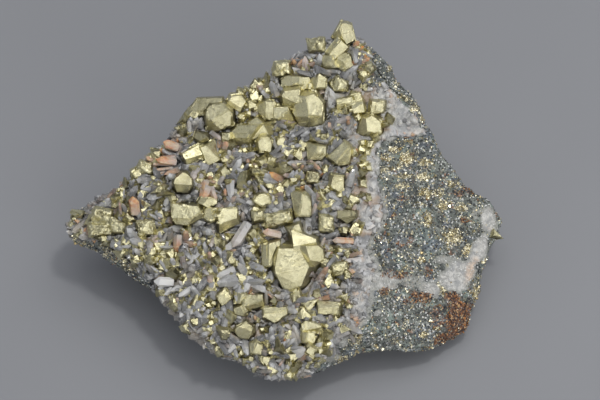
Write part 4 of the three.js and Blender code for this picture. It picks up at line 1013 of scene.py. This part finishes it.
# Quartz crystals seen clearly: u, v of the root, width, length, way, rise, stain, white.
CLEAR_QUARTZ = [
    (-45.6, -4.2, 1.5, 4.2, 95, 25, 0.45, 0.1), (-44.6, -4.6, 1.4, 3.2, -40, 20, 0.9, 0),
    (-51.4, 0, 2, 2.6, 110, 25, 0.9, 0), (-57, -6.4, 2.2, 2.2, 150, 40, 0.8, 0),
    (-29.8, 8.4, 2, 4.6, 200, 25, 0.8, 0), (-30.6, 11.8, 1.6, 4.8, 185, 20, 0.9, 0.1),
    (-33.2, 12.6, 1.6, 3.6, 230, 20, 0.8, 0), (-22.4, 4.6, 3, 4, 265, 45, 0.85, 0.2),
    (-20.6, 3.2, 2.4, 4.4, 290, 30, 0.6, 0.3), (-16.8, 14.4, 2.2, 2.8, 80, 50, 0.7, 0.3),
    (-30, 18, 1.5, 2.4, 270, 30, 0.8, 0.2), (-21, -15.9, 1.8, 2.8, 90, 50, 0.7, 0.2),
    (-26.8, -28.4, 1.2, 1.8, 60, 50, 0.9, 0.1), (-8.2, -32.5, 1.4, 2, 120, 60, 0.8, 0.1),
    (-0.6, -38.7, 1.4, 1.8, 40, 60, 0.8, 0.1), (-2.5, -25.9, 1.4, 1.8, 0, 60, 1, 0),
    (12, -25.2, 1.6, 3.4, 225, 20, 0.8, 0.2), (19.8, -5.2, 1.9, 3.4, 250, 25, 0.5, 0.5),
    (20.6, -16.4, 1.8, 4.6, 184, 12, 0.15, 0.9), (19, -1.6, 2.2, 3.2, 255, 30, 0.5, 0.5),
    (18.7, -8.2, 2, 2.6, 250, 45, 0.6, 0.4), (19.4, 43, 1.8, 2.4, 60, 50, 1, 0),
    (18.4, 33.7, 1.3, 1.8, 100, 60, 1, 0), (12.7, 19.9, 2, 2.8, 120, 45, 0.6, 0.3),
    (16.4, 21.8, 1.8, 2.6, 60, 45, 0.5, 0.4), (9.6, 38.4, 3, 3.6, 100, 45, 0, 0.2),
    (4.6, 34.9, 3.4, 4.4, 150, 38, 0.05, 0.25), (0.4, 36.8, 2.4, 2.6, 110, 50, 0.05, 0.2),
    (2.4, 38.2, 1.6, 2, 120, 60, 1, 0), (-2.4, 36.6, 1.8, 1.8, 140, 60, 0.7, 0),
    (-7.4, 31, 2.6, 2.2, 130, 60, 0.4, 0.1), (-2.8, 29.2, 2.6, 4.8, 110, 28, 0, 0),
    (-4.6, 28.2, 2, 4.2, 135, 28, 0, 0), (21.6, 39, 1.6, 2.2, 70, 40, 1, 0),
    (19.2, 37.4, 1.6, 2.6, 100, 40, 1, 0), (20.4, 42, 1.2, 2, 30, 35, 1, 0),
    (23, 36.6, 1.1, 1.8, 10, 35, 1, 0), (13.4, 27.6, 3, 4.6, 110, 40, 0, 0.3),
    (16.6, 22.6, 2.6, 4.4, 200, 45, 0.1, 0.1), (-13.6, -11.4, 2.6, 4.6, 215, 25, 0, 0.5),
    (-14.4, -19.4, 2.8, 5.6, 200, 25, 0, 0.5), (-24.6, -14.6, 2.6, 5, 230, 25, 0, 0.4),
    (-26.2, -24.4, 2.4, 4.6, 215, 30, 0, 0.6), (-10, -21.6, 2.8, 4.8, 250, 30, 0, 0.5),
    (-33.4, -23.6, 2.2, 2.6, 200, 40, 0, 0.9), (-28, -30.4, 2.2, 2.8, 240, 40, 0, 0.8),
    (-22.5, 9.6, 3.4, 5.6, 255, 30, 0.05, 0.1), (-20.6, 10.4, 3, 5.6, 285, 30, 0.05, 0.15),
    (-24.4, 8.4, 2.6, 4.6, 240, 30, 0.2, 0.1), (-15.5, 5, 2.8, 5.2, 275, 25, 0, 0.35),
    (-14.4, 2.4, 2.4, 3.6, 300, 30, 0, 0.5), (-3.2, 22.6, 2, 4.2, 265, 30, 0, 0.2),
    (-1.6, 18.4, 1.6, 3.2, 10, 20, 0, 0.5), (-12.2, 24.6, 2.2, 3.4, 80, 35, 0, 0.5),
    (-12.6, -21, 3, 5.4, 190, 22, 0, 0.15), (-9.2, -23, 2.8, 5, 330, 25, 0, 0.1),
    (3, -42, 3.4, 4, 30, 45, 0, 0.55), (-0.4, -42.4, 2.8, 3.4, 150, 45, 0, 0.45),
    (-14.6, -40, 2.4, 2.8, 230, 45, 0, 0.7), (-6.8, -26.4, 1.6, 5, -30, 18, 0, 0.05),
    (-33.2, 13, 1.8, 2.8, 150, 40, 0.9, 0), (14.4, -11.2, 1.8, 3.2, 10, 20, 0.8, 0.2),
    (22.6, -7.1, 2.4, 2.4, 0, 30, 0.1, 1), (0.9, 1.4, 2.6, 3.6, 60, 40, 0, 0.1),
    (9.8, -12.6, 2.4, 3.4, 20, 40, 0, 0.15), (12.4, -4.4, 2.8, 4.4, 20, 35, 0, 0.3),
    (17.6, 4.4, 2.8, 4.4, 70, 35, 0, 0.25), (-31.4, 8.8, 1, 5.4, 186, 16, 0.75, 0.3),
    (-32, 9.8, 0.9, 5, 178, 14, 0.6, 0.4), (-31, 10.6, 1.1, 5.8, 172, 18, 0.8, 0.2),
    (-33.2, 8, 0.9, 3.6, 200, 18, 0.7, 0.3), (-13.6, -22.4, 3.4, 6, 185, 26, 0, 0.15),
    (-10.6, -22.6, 3.2, 5.6, 5, 24, 0, 0.1), (-12.4, -24.4, 3, 4.6, 250, 40, 0, 0.2),
    (-11.4, -20.2, 2.6, 4.4, 120, 40, 0, 0.1), (-31.4, -24.6, 2, 3, 215, 35, 0, 0.9),
    (-30, -26.4, 1.8, 2.8, 225, 30, 0, 0.9), (28.2, 29.2, 1.7, 1.8, 90, 70, 0, 1),
    (28.6, 26.2, 1.5, 1.6, 10, 65, 0, 1), (31.6, 21.2, 1.6, 1.8, 60, 65, 0, 1),
    (33.9, 21.3, 1.2, 1.6, 60, 65, 0, 1), (45.2, -22.2, 1.4, 1.4, 60, 70, 0, 1),
    (22.4, -7, 2, 2.2, 20, 40, 0, 1), (-29.2, -24, 2.2, 3.4, 200, 35, 0, 0.7),
    (-22, 3.2, 3.4, 5, 255, 35, 0.8, 0.3), (10.8, -25.4, 1.6, 4.2, 255, 20, 0.75, 0.2),
    (-36.6, 10.6, 1.4, 3, 150, 30, 0.7, 0.2),
]


DRUSE_DENSITY = 1.6  # prisms tried on each square millimetre of the crust
CLEARANCE = 1.5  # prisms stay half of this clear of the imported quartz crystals, in millimetres
ROOTED = 0.5  # how far into the crust the scattered prisms go, in millimetres
CLEAR_ROOT = 0.5  # how far out of the solids the roots of the ones seen clearly lie, in millimetres
THINNEST, LONGEST = 0.32, 5.2  # a prism's least radius and greatest length, in millimetres
SLENDER = (1.9, 6.2)  # a prism's length beside its radius
CUT_SHORT = 0.35  # share of its length that a prism keeps where it would reach past an edge
DROP = 2.0  # an edge is where the surface lies this much deeper, in millimetres


def places_on(triangles, count, areas, rng):
    """Random places on triangles, by their area: which triangle each is on, and the points."""
    pick = rng.choice(len(areas), count, p=areas / areas.sum())
    r, t = np.sqrt(rng.random((count, 1))), rng.random((count, 1))
    a, b, c = (triangles[pick, i] for i in range(3))
    return pick, (1 - r) * a + r * (1 - t) * b + r * t * c


def areas_and_normals(triangles):
    """The area of each triangle and the way it faces."""
    across = np.cross(triangles[:, 1] - triangles[:, 0], triangles[:, 2] - triangles[:, 0])
    return np.linalg.norm(across, axis=1) / 2, unit(across)


def hides_a_crystal(root, axis, length):
    """Whether a quartz prism would stand in front of a packed crystal, or close beside a quartz one."""
    for share in (0.35, 0.7, 1.0):
        u, v, w = to_show(root + axis * length * share)
        over = level(crystal_tree, u, v)
        if over is not None and over < w + 0.6:
            return True
        if any(level(clear_tree, u + CLEARANCE * x, v + CLEARANCE * y) for x, y in AROUND):
            return True
    return False


def prism_size(rng, root, axis, massive):
    """Radius and length of a prism: shorter where it would reach past an edge or the quartz is massive."""
    radius = THINNEST + 1.0 * rng.random() ** 2.4
    length = min(radius * rng.uniform(*SLENDER), LONGEST)
    under_tip = level(ground, *to_show(root + axis * length)[:2])
    if under_tip is None or under_tip < to_show(root)[2] - DROP:
        length *= CUT_SHORT
    return radius * (1 - 0.2 * massive), length * (1 - 0.65 * massive)


def scattered_quartz(heap, rng, seats):
    """Prisms all over the crust, leaning with a swirling grain, dark or light, some of them stained."""
    triangles = triangles_of(NODES["quartz_crust"].data)
    areas, normals = areas_and_normals(triangles)
    areas[normals @ OUT < -0.1] = 0
    pick, roots = places_on(triangles, int(areas.sum() * DRUSE_DENSITY), areas, rng)
    show, out = to_show(roots), normals[pick] @ OUT
    rocky = rockiness(show)
    massive = massiveness(show, patch_marks(show, out, "white")["white"])
    swirl = [fractal(show + k * 40.0, 6.5, 2) for k in (1, 2)]
    stains = smooth(0.28, 0.62, fractal(show + 200, 5.0, 3) + 0.12)
    seat_uv = np.array([s[:2] for s in seats])
    seat_width = np.array([s[2] for s in seats])
    for i, root in enumerate(roots):
        if rocky[i] > 0.4 or rng.random() < 0.75 * massive[i]:
            continue
        if np.any(np.hypot(*(seat_uv - show[i, :2]).T) < 0.40 * seat_width):
            continue
        lean = np.array([swirl[0][i], swirl[1][i], 0]) * 2.2 + rng.normal(size=3) * [0.8, 0.8, 0.25]
        axis = unit(lean @ SHOW + 0.40 * normals[pick[i]] + 0.22 * OUT)
        radius, length = prism_size(rng, root, axis, massive[i])
        if hides_a_crystal(root, axis, length):
            continue
        stain = stains[i] * rng.uniform(0.2, 1.0) * (rng.random() < 0.5)
        light, white = rng.uniform(0.05, 1.0), 0.6 * massive[i] * rng.random()
        sunk = root - axis * ROOTED
        quartz_prism(heap, sunk, axis, radius, length + ROOTED, rng, light, stain, white)


def quartz_druse(seats):
    """Thousands of small quartz crystals, grown out of the crust between the chalcopyrite."""
    rng = np.random.default_rng(DRUSE_SEED)
    heap = Heap("light", "stain", "white")
    scattered_quartz(heap, rng, seats)
    for u, v, width, length, way, rise, stain, whiteness in CLEAR_QUARTZ:
        base = level(ground, u, v)
        if base is None:
            continue
        root, axis = to_row([u, v, base + CLEAR_ROOT]), unit(facing(way, 90 - rise) @ SHOW)
        light = rng.uniform(0.4, 0.85)
        quartz_prism(heap, root, axis, width / 2, length, rng, light, stain, whiteness)
    return heap.piece("quartz_druse_crystals", "quartz", quartz)


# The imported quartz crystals: the way each points on the show face, stain at its root and tip, white.
QUARTZ_LOOKS = {
    "long_quartz_crystal": (-124, 0.0, 0.16, 0.05), "white_quartz_crystal": (180, 0.0, 0.0, 0.8),
    "pink_quartz_crystal": (-90, 0.05, 0.95, 0.1), "tan_quartz_crystal": (161, 0.2, 0.65, 0.1),
    "rusty_quartz_crystal": (99, 0.35, 0.9, 0.1), "orange_spray_crystal": (171, 0.3, 1.0, 0.1),
    "upper_spray_crystal": (156, 0.3, 1.0, 0.1), "band_quartz_crystal": (-5, 0.3, 0.85, 0.1),
}


def quartz_nodes():
    """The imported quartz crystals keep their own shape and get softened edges."""
    for node, (way, at_root, at_tip, white) in QUARTZ_LOOKS.items():
        corners, faces = facets_of(node)
        along = to_show(corners) @ facing(way, 90)
        share = smooth(along.min(), along.max(), along)
        heap = Heap("light", "stain", "white")
        stain = at_root + (at_tip - at_root) * share
        # Lighter towards the tip: painted shade at the root and painted light at the tip, as on the small
        # prisms.
        heap.add(corners, faces, light=0.7 + 0.3 * share, stain=stain, white=white)
        slot = "quartz" if at_tip < 0.4 else "stained_quartz"
        heap.piece(node + "_surface", slot, quartz, SOFT_EDGE, [node])


# ---- Grains in the broken rock ----

OCTAHEDRON = np.array([[1, 0, 0], [-1, 0, 0], [0, 1, 0], [0, -1, 0], [0, 0, 1], [0, 0, -1]], float)
OCTAHEDRON_FACES = [[0, 2, 4], [2, 1, 4], [1, 3, 4], [3, 0, 4], [2, 0, 5], [1, 2, 5], [3, 1, 5], [0, 3, 5]]
GRAINS = 21000  # places tried
ABOVE_BASE = 1.2  # no grain is tried lower than this over the resting face, in millimetres
CLEAR_OF_CRUST = 0.7  # nor closer to the crust than this
BRASSY_GRAIN, MILKY_GRAIN, DARK_GRAIN, RUSTY_GRAIN = range(4)


def grain_kind(rng, rust, white, gold_share):
    """What a grain is made of at a place, or None where there is none."""
    roll = rng.random()
    if rust > 0.6 * rng.random() + 0.2:
        return RUSTY_GRAIN if roll < 0.85 else BRASSY_GRAIN
    if white > 0.4:
        if rng.random() < 0.5:
            return None
        return MILKY_GRAIN if roll < 0.95 else BRASSY_GRAIN
    if roll < gold_share:
        return BRASSY_GRAIN
    if rng.random() < 0.3:
        return None
    if rng.random() < 0.09:
        return MILKY_GRAIN
    return RUSTY_GRAIN if rng.random() < 0.05 else DARK_GRAIN


def grain_size(rng, kind, gold_share):
    """Half a grain's width in millimetres: brassy ones are larger where they crowd, and now and then."""
    gold = kind == BRASSY_GRAIN
    size = rng.uniform(0.13, 0.32) * (1.35 if gold and gold_share > 0.5 else 1.0)
    return size * (1.7 if rng.random() < (0.22 if gold else 0.05) else 1.0)


def rock_grains(rock_piece, crust_piece):
    """Angular grains on the broken rock: brassy ones, milky quartz, dark and rusty ones."""
    rng = np.random.default_rng(GRAIN_SEED)
    on_rock, on_crust = triangles_of(rock_piece.data), triangles_of(crust_piece.data)
    triangles = np.concatenate([on_rock, on_crust])
    areas, normals = areas_and_normals(triangles)
    middle = triangles.mean(1)
    areas[middle[:, 2] < ABOVE_BASE] = 0
    areas[normals @ OUT < 0.0] *= 0.3
    areas[len(on_rock):] *= rockiness(to_show(middle[len(on_rock):])) > 0.5
    pick = rng.choice(len(areas), GRAINS, p=areas / areas.sum())
    points = middle[pick] + rng.uniform(-0.2, 0.2, (GRAINS, 3))
    show, out = to_show(points), normals[pick] @ OUT
    marks = patch_marks(show, out, "white", "rust", "brass")
    clusters = fractal(points + 120, 2.4, 3)
    heap = Heap("tone", "kind")
    for i in range(GRAINS):
        near_crust = crust_tree.find_nearest(Vector(show[i]), CLEAR_OF_CRUST)[0] is not None
        if pick[i] < len(on_rock) and near_crust:
            continue
        gold_share = np.clip(0.15 + 0.9 * marks["brass"][i] + 0.9 * clusters[i], 0.06, 0.97)
        kind = grain_kind(rng, marks["rust"][i], marks["white"][i], gold_share)
        if kind is None:
            continue
        size = grain_size(rng, kind, gold_share)
        shape = OCTAHEDRON * rng.uniform(0.6, 1.2, (6, 1)) * size
        body = shape @ turned(rng).T + points[i] + normals[pick[i]] * size * 0.2
        heap.add(body, OCTAHEDRON_FACES, tone=rng.random(), kind=kind)
    return heap.piece("host_rock_grains", "host_rock", grain)


# ---- Floor, light and camera ----

PIXEL = 0.276  # millimetres on the show face for each of the photograph's pixels
PHOTO_WIDTH = 600
SPECIMEN_MIDDLE = 286  # pixels from the photograph's left edge
ASIDE = (PHOTO_WIDTH / 2 - SPECIMEN_MIDDLE) * PIXEL  # the photograph's middle is this far to the right
CAMERA_DISTANCE = 1.4  # metres
FLOOR_HALF = 3.0  # metres
SPECIMEN_AT = (0, 0, 0.03)  # what the lamps face, in metres


def look_at(thing, place_at, target):
    """A camera or lamp goes to its place and faces the target, both in metres."""
    thing.location = place_at
    thing.rotation_euler = (Vector(target) - Vector(place_at)).to_track_quat("-Z", "Y").to_euler()


def camera():
    """Straight at the show face, with the photograph's width across the picture."""
    data = bpy.data.cameras.new("camera")
    data.sensor_width = 36
    data.lens = data.sensor_width * CAMERA_DISTANCE / (PHOTO_WIDTH * PIXEL * MM)
    made = linked("camera", data)
    target = to_row([ASIDE, 0, 0]) * MM
    look_at(made, target + OUT * CAMERA_DISTANCE, target)
    bpy.context.scene.camera = made
    bpy.context.scene.view_settings.view_transform = "Standard"


def floor():
    """The plain grey floor that the specimen lies on."""
    mesh = bpy.data.meshes.new("floor")
    corners = [(x * FLOOR_HALF, y * FLOOR_HALF, 0) for x, y in ((-1, -1), (1, -1), (1, 1), (-1, 1))]
    mesh.from_pydata(corners, [], [(0, 1, 2, 3)])
    mesh.materials.append(floor_material())
    made = linked("floor", mesh)


def softbox(name, width, height, power, place_at, colour):
    """A rectangular lamp that faces the specimen, in metres and watts."""
    data = bpy.data.lights.new(name, "AREA")
    data.shape, data.size, data.size_y, data.energy, data.color = "RECTANGLE", width, height, power, colour
    look_at(linked(name, data), place_at, SPECIMEN_AT)


# Each lamp: width and height in metres, power in watts, place in metres, colour.
LAMPS = {
    "overhead_softbox": (1.3, 1.3, 5.6, (0.30, 0.02, 1.12), (1.0, 0.99, 0.97)),
    "key_lamp": (0.12, 0.12, 2.5, (0.22, -0.10, 1.15), (1.0, 0.99, 0.97)),
    "front_softbox": (0.8, 0.8, 3.0, (0.44, -0.92, 0.55), (1.0, 0.99, 0.96)),
    "low_softbox": (1.6, 0.5, 1.6, (-0.1, -1.35, 0.28), (1.0, 0.99, 0.97)),
}
SKY = (0.86, 0.90, 1.0, 1)
SKY_STRENGTH = 0.34


def lights():
    """The softboxes, a small lamp for the glints, and a pale blue sky."""
    world = bpy.data.worlds.new("studio")
    bpy.context.scene.world = world
    world.use_nodes = True
    background = world.node_tree.nodes["Background"]
    background.inputs["Color"].default_value = SKY
    background.inputs["Strength"].default_value = SKY_STRENGTH
    for name, lamp in LAMPS.items():
        softbox(name, *lamp)


rock_surface = host_rock()
crust_surface = quartz_crust()
large_crystals()
crystal_seats = small_crystals()
quartz_druse(crystal_seats)
quartz_nodes()
rock_grains(rock_surface, crust_surface)
floor()
lights()
camera()
